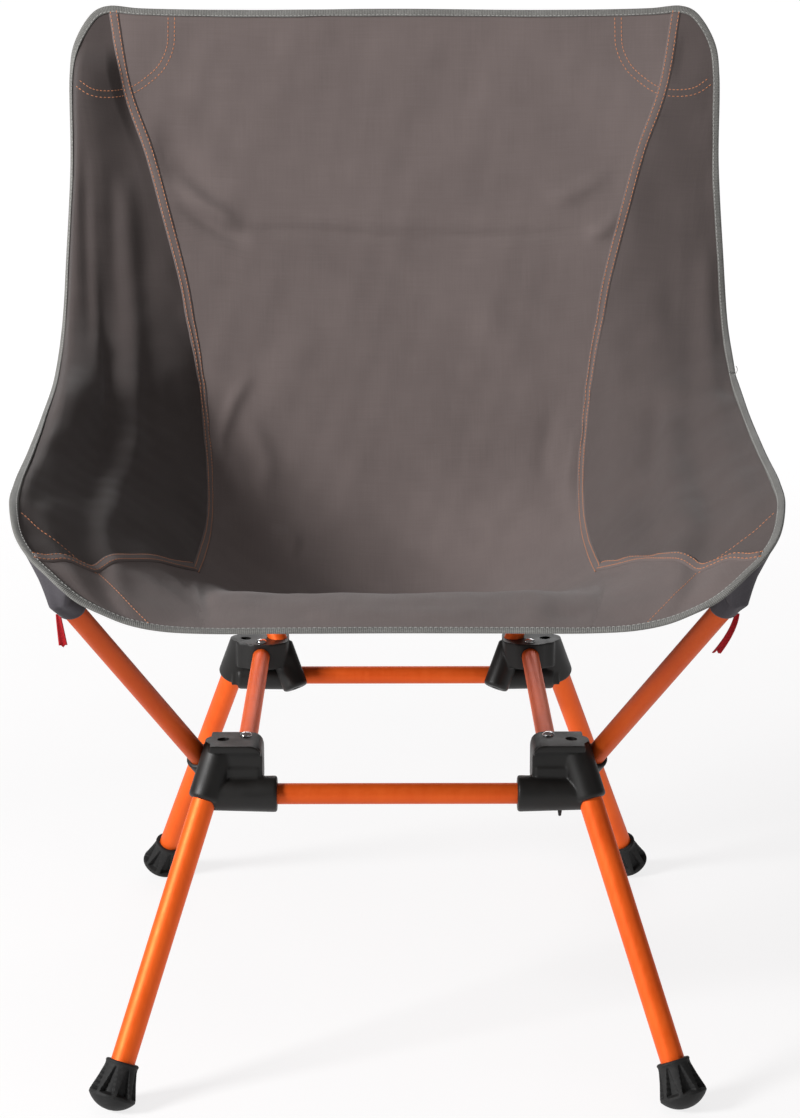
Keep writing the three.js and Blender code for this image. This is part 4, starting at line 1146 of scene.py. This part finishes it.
def plate(corners, low, high, plane="xz", round_corners=None):
    """A flat block from an outline in the xz or xy plane; each corner may be rounded by its own radius."""
    outline_points = []
    count = len(corners)
    for i, corner in enumerate(corners):
        radius = (round_corners or {}).get(i, 0) * MM
        p = np.array(corner, float)
        if not radius:
            outline_points.append(p)
            continue
        before, after = np.array(corners[i - 1], float), np.array(corners[(i + 1) % count], float)
        a, b = unit(before - p) * radius, unit(after - p) * radius
        for t in np.linspace(0, 1, 9):
            outline_points.append((p + a) * (1 - t) ** 2 + 2 * p * t * (1 - t) + (p + b) * t**2)
    points = []
    for level in (low, high):
        points += [(u, level, v) if plane == "xz" else (u, v, level) for u, v in outline_points]
    n = len(outline_points)
    faces = [tuple(range(n)), tuple(range(n, 2 * n))[::-1]]
    faces += [(i, (i + 1) % n, n + (i + 1) % n, n + i) for i in range(n)]
    piece = mesh_piece("plate", points, faces, hub_plastic)
    face_out(piece)
    return piece


def cutter(start, end, radius, sides=56):
    """A cylinder that bores a socket."""
    along = np.asarray(end) - start
    profile = [(radius, 0), (radius, np.linalg.norm(along))]
    return turned("cutter", profile, start, along, sides, hub_plastic)


def moulded(name, solids, cutters):
    """Solids run together like one moulding, with small fillets, and then bored."""
    piece = joined(solids, name)
    remesh = piece.modifiers.new("skin", "REMESH")
    remesh.mode = "VOXEL"
    remesh.voxel_size = VOXEL
    smooth = piece.modifiers.new("fillets", "SMOOTH")
    smooth.factor = 0.5
    smooth.iterations = 7
    apply_modifiers(piece)
    for cut in cutters:
        bore = piece.modifiers.new("bore", "BOOLEAN")
        bore.operation = "DIFFERENCE"
        bore.solver = "EXACT"
        bore.object = cut
        apply_modifiers(piece)
        bpy.data.objects.remove(cut)
    piece.data.materials.clear()
    piece.data.materials.append(hub_plastic)
    soften_edges(piece, 38)
    return piece


def hub_axes(end):
    """The axes that meet in the right-hand front or rear hub."""
    leg_top, leg_end, leg_r = axis_of(f"{end}_leg_right")
    down = unit(leg_end - leg_top)
    bar_a, bar_b, bar_r = axis_of(f"{end}_crossbar")
    bar_end = bar_a if bar_a[0] > bar_b[0] else bar_b
    rail_a, rail_b, rail_r = axis_of("side_rail_right")
    rail_end = min((rail_a, rail_b), key=lambda p: p[1] if end == "front" else -p[1])
    return leg_top - down * LEG_INSERT, down, leg_r, bar_end, bar_r, rail_end, rail_r


def hub_cutters(end, leg_start, down, leg_r, bar_end, bar_r, rail_end, rail_r, pole_low, pole_up):
    """The level top, then the bores for the leg, its cord, the crossbar, the rail and the pole."""
    bar_in = bar_end * [0, 1, 1] + [0.06, 0, 0]
    toward = 1 if end == "front" else -1
    rail_out = rail_end + np.array([0, toward * 0.06, 0])
    rail_seat = rail_end - np.array([0, toward * SEATING, 0])
    back, front = (0.0, -0.3) if end == "front" else (0.3, 0.0)
    return [
        plate([(0, HUB_TOP), (0.3, HUB_TOP), (0.3, 0.3), (0, 0.3)], front, back),
        cutter(leg_start + down * (LEG_INSERT - SEATING), leg_start + down * 0.07, leg_r + FIT),
        cutter(leg_start - down * 0.03, leg_start + down * 3 * MM, 4 * MM, 40),
        cutter(leg_start - down * 0.01, leg_start + down * 0.02, 1.8 * MM, 24),
        cutter(bar_in, bar_end + np.array([SEATING, 0, 0]), bar_r + FIT),
        cutter(rail_seat, rail_out, rail_r + FIT),
        cutter(pole_low - pole_up * SEATING, pole_low + pole_up * 0.08, POLE_R + FIT),
    ]


def bar_boss(bar_end, bar_r, grown, flared):
    """The crossbar's socket, from past the bar's end to its mouth, where it is wider."""
    far = bar_end + np.array([BAR_BOSS_REACH, 0, 0])
    wall = bar_r + FIT + WALL
    return boss(far, np.array([BAR_MOUTH_X, bar_end[1], bar_end[2]]), wall + grown, wall + flared)


def front_hub():
    """A block on the rail's end with the sockets of the leg, the crossbar and the seat pole."""
    leg_start, down, leg_r, bar_end, bar_r, rail_end, rail_r = axes = hub_axes("front")
    pole_low, pole_high, _ = axis_of("seat_pole_right")
    pole_low, pole_high = sorted((pole_low, pole_high), key=lambda p: p[2])
    pole_up = unit(pole_high - pole_low)
    bar_y, bar_z = bar_end[1], bar_end[2]
    x_in, x_out = rail_end[0] - rail_r - 5.6 * MM, leg_start[0] + 7 * MM
    back_y = bar_y + HUB_DEPTH
    solids = [
        plate([(x_in, 0.205), (x_out, 0.205), (x_out, HUB_TOP), (x_in, HUB_TOP)], bar_y - 2 * MM, back_y,
              round_corners={3: 10}),
        plate([(x_in + 1 * MM, 0.2325), (x_out, 0.2325), (x_out, HUB_TOP), (x_in + 1 * MM, HUB_TOP)],
              bar_y - 6.5 * MM, back_y, round_corners={3: 9}),
        plate([(x_in + 3 * MM, bar_z - 6 * MM), (x_out + 6 * MM, bar_z - 6 * MM), (x_out + 4 * MM, 0.22),
               (x_in + 3 * MM, 0.22)], bar_y - 3 * MM, bar_y + 12 * MM),
        boss(leg_start + down * 38 * MM, leg_start - down * BOSS_ABOVE_LEG, leg_r + FIT + WALL),
        bar_boss(bar_end, bar_r, 0.9 * MM, 2.2 * MM),
        boss(pole_low - pole_up * WALL, pole_low + pole_up * 28 * MM, POLE_BOSS_R),
    ]
    return moulded("hub_front_right", solids, hub_cutters("front", *axes, pole_low, pole_up))


def rear_hub():
    """A low five-sided block with the sockets of the leg, the crossbar, the rail and the back pole."""
    leg_start, down, leg_r, bar_end, bar_r, rail_end, _ = axes = hub_axes("rear")
    pole_low = BACK_MOUTH - BACK_LEAN * POLE_DEPTH
    bar_y, bar_z = bar_end[1], bar_end[2]
    x_in, x_out = BACK_MOUTH[0] - 6 * MM, leg_start[0] + 6 * MM
    front_y = bar_y - HUB_DEPTH
    top_outline = [
        (x_in, front_y + 9 * MM),
        (rail_end[0] - 9 * MM, front_y),
        (rail_end[0] + 8 * MM, front_y),
        (leg_start[0] - 1 * MM, front_y + 5 * MM),
        (x_out, front_y + 8 * MM),
        (x_out, bar_y + 6 * MM),
        (x_in, bar_y + 6 * MM),
    ]
    solids = [
        plate(top_outline, 0.2165, HUB_TOP, "xy", {0: 5, 1: 4, 2: 5, 3: 4, 4: 4}),
        plate([(x_in + 4 * MM, bar_z - 6 * MM), (x_out + 5 * MM, bar_z - 6 * MM), (x_out + 2 * MM, 0.222),
               (x_in + 4 * MM, 0.222)], bar_y - 8 * MM, bar_y + 7 * MM),
        boss(leg_start + down * 36 * MM, leg_start - down * BOSS_ABOVE_LEG, leg_r + FIT + WALL),
        bar_boss(bar_end, bar_r, 0.8 * MM, 1.4 * MM),
        boss(pole_low - BACK_LEAN * 7.5 * MM, BACK_MOUTH + BACK_LEAN * 3 * MM, POLE_BOSS_R),
    ]
    cuts = hub_cutters("rear", *axes, pole_low, BACK_LEAN)
    cuts.append(cutter(pole_low - BACK_LEAN * 20 * MM, pole_low, 3 * MM, 32))
    return moulded("hub_rear_right", solids, cuts)


def make_hubs():
    for piece, end in ((front_hub(), "front"), (rear_hub(), "rear")):
        other = mirror_piece(piece, f"hub_{end}_left")
        settle(piece, "frame", "hub_plastic", f"{end}_hub_right")
        settle(other, "frame", "hub_plastic", f"{end}_hub_left")


# ---------------------------------------------------------------- rivets, pin, tips, cords
CORD_R = 1.25 * MM
CORD_LENGTH = 96 * MM
CORD_ABOVE_LEG = 6 * MM
HEAD_R = 4.2 * MM
SHANK_R = 2 * MM
TAIL_R = 3.6 * MM
TAIL_HIGH = 1.2 * MM


def upright(name, profile, node, sides, material, slot):
    """A small turned fixing that stands where a CAD node stands."""
    low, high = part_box(node)
    piece = turned(name, profile, ((low.x + high.x) / 2, (low.y + high.y) / 2, 0), (0, 0, 1), sides, material)
    soften_edges(piece, 50)
    settle(piece, "frame", slot, node)


def make_rivet(end, side):
    """A domed steel rivet through a hub's flange."""
    node = f"{end}_rivet_{side}"
    low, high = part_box(node)
    rise = high.z - HUB_TOP - 0.3 * MM
    under = HUB_TOP + 0.1 * MM
    dome = [(HEAD_R * math.cos(a), HUB_TOP + 0.2 * MM + rise * math.sin(a)) for a in np.linspace(0, 1.5, 12)]
    tail = [(TAIL_R, low.z), (TAIL_R, low.z + TAIL_HIGH), (SHANK_R, low.z + TAIL_HIGH)]
    profile = [*tail, (SHANK_R, under), (HEAD_R * 0.96, under), *dome]
    upright(f"rivet_{end}_{side}", profile, node, 40, steel, "rivet_steel")


def make_pin():
    """The tapered pin that hangs below the front crossbar."""
    low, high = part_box("crossbar_pin")
    tip = [(0.7 * MM, low.z), (1.1 * MM, low.z + 0.5 * MM)]
    profile = [*tip, (1.75 * MM, low.z + 6 * MM), (1.8 * MM, high.z)]
    upright("pin_crossbar", profile, "crossbar_pin", 32, hub_plastic, "hub_plastic")


def make_leg_cord(end, side):
    """Shock cord from a hub down into its leg. On the real chair it stretches when the leg is pulled out."""
    top, bottom, _ = axis_of(f"{end}_leg_{side}")
    down = unit(bottom - top)
    profile = [(CORD_R, h) for h in np.linspace(0, CORD_LENGTH, 49)]
    cord = turned(f"leg_cord_{end}_{side}", profile, top - down * CORD_ABOVE_LEG, down, 20, cord_black)
    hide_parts(f"{end}_leg_cord_{side}")
    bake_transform(cord)


def paint_hidden_nodes():
    """The carried-over pieces inside the tubes and pockets."""
    for name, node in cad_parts.items():
        if name.endswith(("cord_right", "cord_left", "crossbar_cord")):
            material = cord_black
        elif "ferrule" in name:
            material = ferrule_metal
        elif "pole_tip" in name:
            material = tip_plastic
        else:
            continue
        node.data.materials.clear()
        node.data.materials.append(material)
        for polygon in node.data.polygons:
            polygon.material_index = 0


# ---------------------------------------------------------------- feet
FOOT_SIDES = 160
FOOT_RIBS = 8
DOME_R = 20 * MM
DOME_CENTRE = math.sqrt(20**2 - 4.8**2) * MM
FLARE_R = 16.6 * MM
COLLAR_R = 11.2 * MM
COLLAR_TOP = 14 * MM


def foot_radius(h):
    """Outer radius at a height above the dome's centre."""
    rim = -math.sqrt(DOME_R**2 - FLARE_R**2)
    if h <= rim:
        return math.sqrt(max(DOME_R**2 - h**2, 0))
    keys = [rim, rim + 2.2 * MM, 1 * MM, 9 * MM, COLLAR_TOP]
    radii = [FLARE_R, FLARE_R - 0.2 * MM, COLLAR_R + 2.2 * MM, COLLAR_R + 0.3 * MM, COLLAR_R]
    return float(np.interp(h, keys, radii))


def make_foot(end, side):
    """A domed rubber foot with hollows between its ribs, a lipped collar and a bore for the leg."""
    top, bottom, leg_r = axis_of(f"{end}_leg_{side}")
    up = unit(top - bottom)
    centre = bottom - up * ((bottom[2] - DOME_CENTRE) / up[2])
    dome = np.linspace(-DOME_R * 0.9995, -11.2 * MM, 20)
    heights = [*dome, *np.linspace(-10.8 * MM, COLLAR_TOP - 0.5 * MM, 60)]
    angles, ring = ring_round(up, FOOT_SIDES)
    phase = (angles * FOOT_RIBS / math.tau) % 1 - 0.5
    rows = []
    for h in heights:
        r = foot_radius(h)
        drop = np.clip((COLLAR_TOP - 4 * MM - h) / (18 * MM), 0, 1)
        half = 0.09 + 0.29 * drop**0.8
        inside = smoothstep(half - np.abs(phase), -0.03, 0.07)
        ends = smoothstep(h, -9.6 * MM, -7.6 * MM) * smoothstep(COLLAR_TOP - 3.0 * MM - h, 0, 2.0 * MM)
        depth = (1.0 + 3.4 * drop) * MM * inside * ends
        lip = 0.5 * MM * math.exp(-(((h - COLLAR_TOP + 1.2 * MM) / (1.0 * MM)) ** 2))
        radius = r + lip - depth
        rows.append(centre + up * h + ring * radius[:, None])
    bore = leg_r + 0.15 * MM
    brim = [(COLLAR_R - 0.4 * MM, COLLAR_TOP), (bore + 0.3 * MM, COLLAR_TOP), (bore, COLLAR_TOP - 0.5 * MM)]
    for r, h in (*brim, (bore, -8.5 * MM), (0.5 * MM, -8.7 * MM)):
        rows.append(centre + up * h + ring * r)
    points = np.concatenate(rows)
    points[:, 2] = np.maximum(points[:, 2], 0)
    faces = grid_faces(len(rows), FOOT_SIDES, wrap_columns=True, capped=True)
    piece = mesh_piece(f"foot_{end}_{side}", points, faces, rubber)
    face_out(piece)
    soften_edges(piece, 55)
    settle(piece, f"{end}_leg_{side}", "foot_rubber", f"{end}_foot_{side}")


# ---------------------------------------------------------------- pockets and tabs
POCKET_SIDES = 64
POCKET_LEVELS = 26
RIM_BELOW_TIP = 14.5 * MM
RIM_SLANT = 3.0 * MM
HEAD_SHARE = 0.55


def pocket_attachment(surface, tip, up, ring, sign):
    """The ring under the front corner's cloth where the pocket is sewn on."""
    corner = sling_points([[0.905, 0.052, 0.118]])[0] * [sign, 1, 1]
    aimed = corner * 0.55 + (tip + up * 6 * MM) * 0.45 + ring * 27 * MM
    found = [surface.nearest(aim) for aim in aimed]
    attach = np.array([place - normal * (CLOTH_THICK / 2 + 0.2 * MM) for place, normal in found])
    for _ in range(3):
        attach = (np.roll(attach, 1, 0) + attach * 2 + np.roll(attach, -1, 0)) / 4
    return attach


def make_front_pocket(surface, sign, side):
    """A cloth funnel from the underside of the front corner down to a rim round the seat pole."""
    low, high, _ = axis_of(f"seat_pole_{side}")
    tip, foot = (high, low) if high[2] > low[2] else (low, high)
    up = unit(tip - foot)
    angles, ring = ring_round(up, POCKET_SIDES)
    attach = pocket_attachment(surface, tip, up, ring, sign)
    inward = np.array([-sign, 0, 0])
    rim = tip - up * RIM_BELOW_TIP + ring * (POLE_R + 1.6 * MM) - up * (ring @ inward)[:, None] * RIM_SLANT
    head = tip + ring * (POLE_R + 2.2 * MM)
    rows, places = [], []
    for t in np.linspace(0, 1, POCKET_LEVELS):
        if t < HEAD_SHARE:
            shaped = rim + (head - rim) * (t / HEAD_SHARE)
        else:
            w = smoothstep(t, HEAD_SHARE, 1)
            shaped = head * (1 - w) + attach * w
        loose = 0.9 * MM * math.sin(math.pi * t) * np.sin(5 * angles + 4 * t + sign)
        rows.append(shaped + ring * loose[:, None])
        places.append([(angle * 10 * MM, t * 0.04, 0) for angle in angles])
    faces = grid_faces(POCKET_LEVELS, POCKET_SIDES, wrap_columns=True)
    piece = mesh_piece(
        f"pocket_front_{side}", np.concatenate(rows), faces, pocket_cloth, cloth_at=np.concatenate(places)
    )
    face_out(piece)
    thicken(piece, 0.9 * MM)
    settle(piece, "frame", "pocket_fabric", f"front_pocket_{side}")


LINING_R = POLE_R + 1.1 * MM
LINING_SIDES = 40
LINING_SLEEVE = [(1.06, -47), (1.0, -43), (1.0, -28), (1.0, -12), (1.0, 0)]
LINING_CAP = [(0.86, 2.2), (0.5, 3.6), (0.05, 4.2)]


def make_pocket_lining(sign, side):
    """The capped sleeve inside the rear pocket that the pole's end sits in."""
    path = back_pole_points(0.97, 1.0, 2) * [sign, 1, 1]
    profile = [(LINING_R * share, height * MM) for share, height in LINING_SLEEVE + LINING_CAP]
    points = turned_points(profile, path[-1], path[-1] - path[0], LINING_SIDES)
    faces = grid_faces(len(profile), LINING_SIDES, wrap_columns=True)
    piece = mesh_piece(f"pocket_lining_{side}", points, faces, pocket_cloth)
    face_out(piece)
    soften_edges(piece, 60)
    thicken(piece, 0.7 * MM)
    settle(piece, "frame", "pocket_fabric")


TENT_ROWS = 46
TENT_COLUMNS = 46
TENT_CORNER = np.array([0.232, 0.726])
TENT_REACH = 0.066
TENT_NARROW = 0.92
TENT_FROM = -14
TENT_SWEEP = 122
TENT_R = POLE_R + 1.5 * MM


def tent_lift(path, place, out):
    """How far the cloth at a place stands off the sling to clear the pole, or 0 beside the pole."""
    rel = path - place
    depth = rel @ out
    gap = np.linalg.norm(rel - depth[:, None] * out, axis=1)
    k = int(np.argmin(gap))
    return max(depth[k] + math.sqrt(TENT_R**2 - gap[k] ** 2), 0.0) if gap[k] < TENT_R else 0.0


def tented(needed):
    """The taut height of cloth that is sewn down at its sides and held up wherever it is needed."""
    lift = needed.copy()
    for _ in range(60):
        around = np.copy(lift)
        around[1:-1, 1:-1] = (lift[:-2, 1:-1] + lift[2:, 1:-1] + lift[1:-1, :-2] + lift[1:-1, 2:]) / 4
        around[-1, 1:-1] = (lift[-1, :-2] + lift[-1, 2:]) / 2
        around[:, 0] = around[:, -1] = 0
        around[0] = lift[0]
        lift = np.maximum(around, needed)
        lift[-1] = np.maximum(needed[-1], lift[-1] * 0.86)
    return lift


def make_rear_pocket(surface, sign, side):
    """Cloth sewn to the back of the top corner and tented over the pole's tip, open at the bottom."""
    path = back_pole_points(0.80, 1.0, 40) * [sign, 1, 1]
    path = np.concatenate([path, [path[-1] + unit(path[-1] - path[-2]) * 4 * MM]])
    laid, outward, lifts, places = [], [], [], []
    for i in range(TENT_ROWS):
        reach = TENT_REACH * (i + 0.02) / (TENT_ROWS - 1)
        for j in range(TENT_COLUMNS):
            angle = math.radians(TENT_FROM + TENT_SWEEP * j / (TENT_COLUMNS - 1))
            x = TENT_CORNER[0] - reach * math.cos(angle) * TENT_NARROW
            z = TENT_CORNER[1] - reach * math.sin(angle)
            place, normal = surface.from_front(sign * x, z)
            if place is None:
                place, normal = surface.nearest((sign * min(x, 0.256), 0.255, min(z, 0.722)))
            laid.append(place)
            outward.append(-normal)
            lifts.append(tent_lift(path, place, -normal))
            places.append((x, z, 0))
    lift = tented(np.array(lifts).reshape(TENT_ROWS, TENT_COLUMNS))
    height = lift.reshape(-1) + CLOTH_THICK / 2 + 0.5 * MM
    points = np.array(laid) + np.array(outward) * height[:, None]
    faces = grid_faces(TENT_ROWS, TENT_COLUMNS)
    piece = mesh_piece(f"pocket_rear_{side}", points, faces, pocket_cloth, cloth_at=places)
    thicken(piece, 0.8 * MM)
    settle(piece, "frame", "pocket_fabric", f"rear_pocket_{side}")


TAB_SHAPES = {
    "left": {"length": 21, "width": (3.0, 5.6), "lean": (2.7, 1.5), "fork": -1.6, "twist": 0.3},
    "right": {"length": 27, "width": (3.0, 5.8), "lean": (-13.0, -2.0), "fork": 2.6, "twist": -0.4},
}


def make_tab(side):
    """A ribbon pull with a forked end, hung from the front pocket."""
    low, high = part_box(f"pull_tab_{side}")
    root = np.array([(low.x + high.x) / 2, (low.y + high.y) / 2, high.z + 2.5 * MM])
    shape = TAB_SHAPES[side]
    rows, columns = 30, 9
    points, places = [], []
    for i in range(rows):
        t = i / (rows - 1)
        down = shape["length"] * MM * t
        width = (shape["width"][0] + (shape["width"][1] - shape["width"][0]) * t) * MM
        sway = shape["lean"][0] * MM * t**1.4
        back = shape["lean"][1] * MM * math.sin(math.pi * t)
        turn = shape["twist"] * t
        for j in range(columns):
            s = j / (columns - 1) - 0.5
            notch = shape["fork"] * MM * max(0.0, 1 - abs(s) * 4) * smoothstep(np.array(t), 0.8, 1.0)
            bow = 0.5 * MM * (1 - 4 * s * s)
            x = sway + width * s * math.cos(turn)
            y = back + bow + width * s * math.sin(turn)
            points.append(root + np.array([x, y, -down + notch]))
            places.append((s * width, down, 0))
    piece = mesh_piece(f"tab_{side}", points, grid_faces(rows, columns), tab_ribbon, cloth_at=places)
    thicken(piece, 1.0 * MM)
    settle(piece, f"pull_tab_{side}", "tab_webbing", f"pull_tab_{side}")


# ---------------------------------------------------------------- stage and light
WORLD_STRENGTH = 0.08
KEY_POWER = 150
FILL_POWER = 4
TOP_POWER = 14
BACK_POWER = 30
FLOOR_GLOW = (0.80, 1.0)
FLOOR_REACH = 40.0
FLOOR_GLOW_SPAN = (0.6, 4.0)
FLOOR_DIM = (0.17, 0.17, 0.17)
FLOOR_PALE = (0.20, 0.20, 0.20)


def make_stage():
    """A white table that glows a little more with distance, as a lit studio sweep does."""
    s = Shader("lit white table", Roughness=0.9, Specular_IOR_Level=0.05)
    s.principled.inputs["Emission Color"].default_value = (1.0, 0.992, 0.994, 1.0)
    away = s.add("ShaderNodeVectorMath", {0: s.place}, operation="LENGTH").outputs["Value"]
    s.feed(s.principled.inputs["Emission Strength"], s.remap(away, *FLOOR_GLOW_SPAN, *FLOOR_GLOW))
    mottle = s.noise(3, 2)
    s.finish(s.blend(mottle, FLOOR_DIM, FLOOR_PALE))
    corners = [(x * FLOOR_REACH, y * FLOOR_REACH, 0) for x, y in ((-1, -1), (1, -1), (1, 1), (-1, 1))]
    mesh_piece("floor", corners, [(0, 1, 2, 3)], s.material, smooth=False)


def area_light(name, place, aim, size, power):
    data = bpy.data.lights.new(name, "AREA")
    data.shape = "RECTANGLE"
    data.size, data.size_y = size
    data.energy = power
    light = bpy.data.objects.new(name, data)
    light.location = place
    light.visible_camera = False
    light.rotation_mode = "QUATERNION"
    light.rotation_quaternion = (Vector(aim) - Vector(place)).to_track_quat("-Z", "Y")
    bpy.context.scene.collection.objects.link(light)


def make_light():
    world = bpy.data.worlds.new("studio")
    world.use_nodes = True
    background = world.node_tree.nodes["Background"]
    background.inputs["Color"].default_value = (1, 1, 1, 1)
    background.inputs["Strength"].default_value = WORLD_STRENGTH
    bpy.context.scene.world = world
    area_light("key", (-2.6, -1.55, 1.75), (0, 0, 0.42), (0.9, 0.9), KEY_POWER)
    area_light("fill", (2.2, -2.2, 1.6), (0, 0, 0.4), (1.8, 1.8), FILL_POWER)
    area_light("top", (0, -0.6, 3.0), (0, 0, 0.3), (2.0, 2.0), TOP_POWER)
    area_light("back", (0, 3.3, 1.7), (0, 0, 0.5), (3.0, 1.3), BACK_POWER)
    view = bpy.context.scene.view_settings
    view.view_transform = "Standard"
    view.look = "None"


# ---------------------------------------------------------------- build
def at_each_corner(make):
    """Makes one piece at each end of both sides."""
    for end in ("front", "rear"):
        for side in SIDES:
            make(end, side)


make_camera()
make_stage()
make_light()
make_tubes()
make_hubs()
at_each_corner(make_rivet)
make_pin()
at_each_corner(make_leg_cord)
paint_hidden_nodes()
at_each_corner(make_foot)

sling = make_sling()
cloth_surface = Surface(sling)
for panel in sling:
    settle(panel, "frame", "sling_fabric", f"sling_{panel.name}")
sew(cloth_surface)
make_binding(cloth_surface)
for side_name, side_sign in SIDES.items():
    make_front_pocket(cloth_surface, side_sign, side_name)
    make_rear_pocket(cloth_surface, side_sign, side_name)
    make_pocket_lining(side_sign, side_name)
    make_tab(side_name)
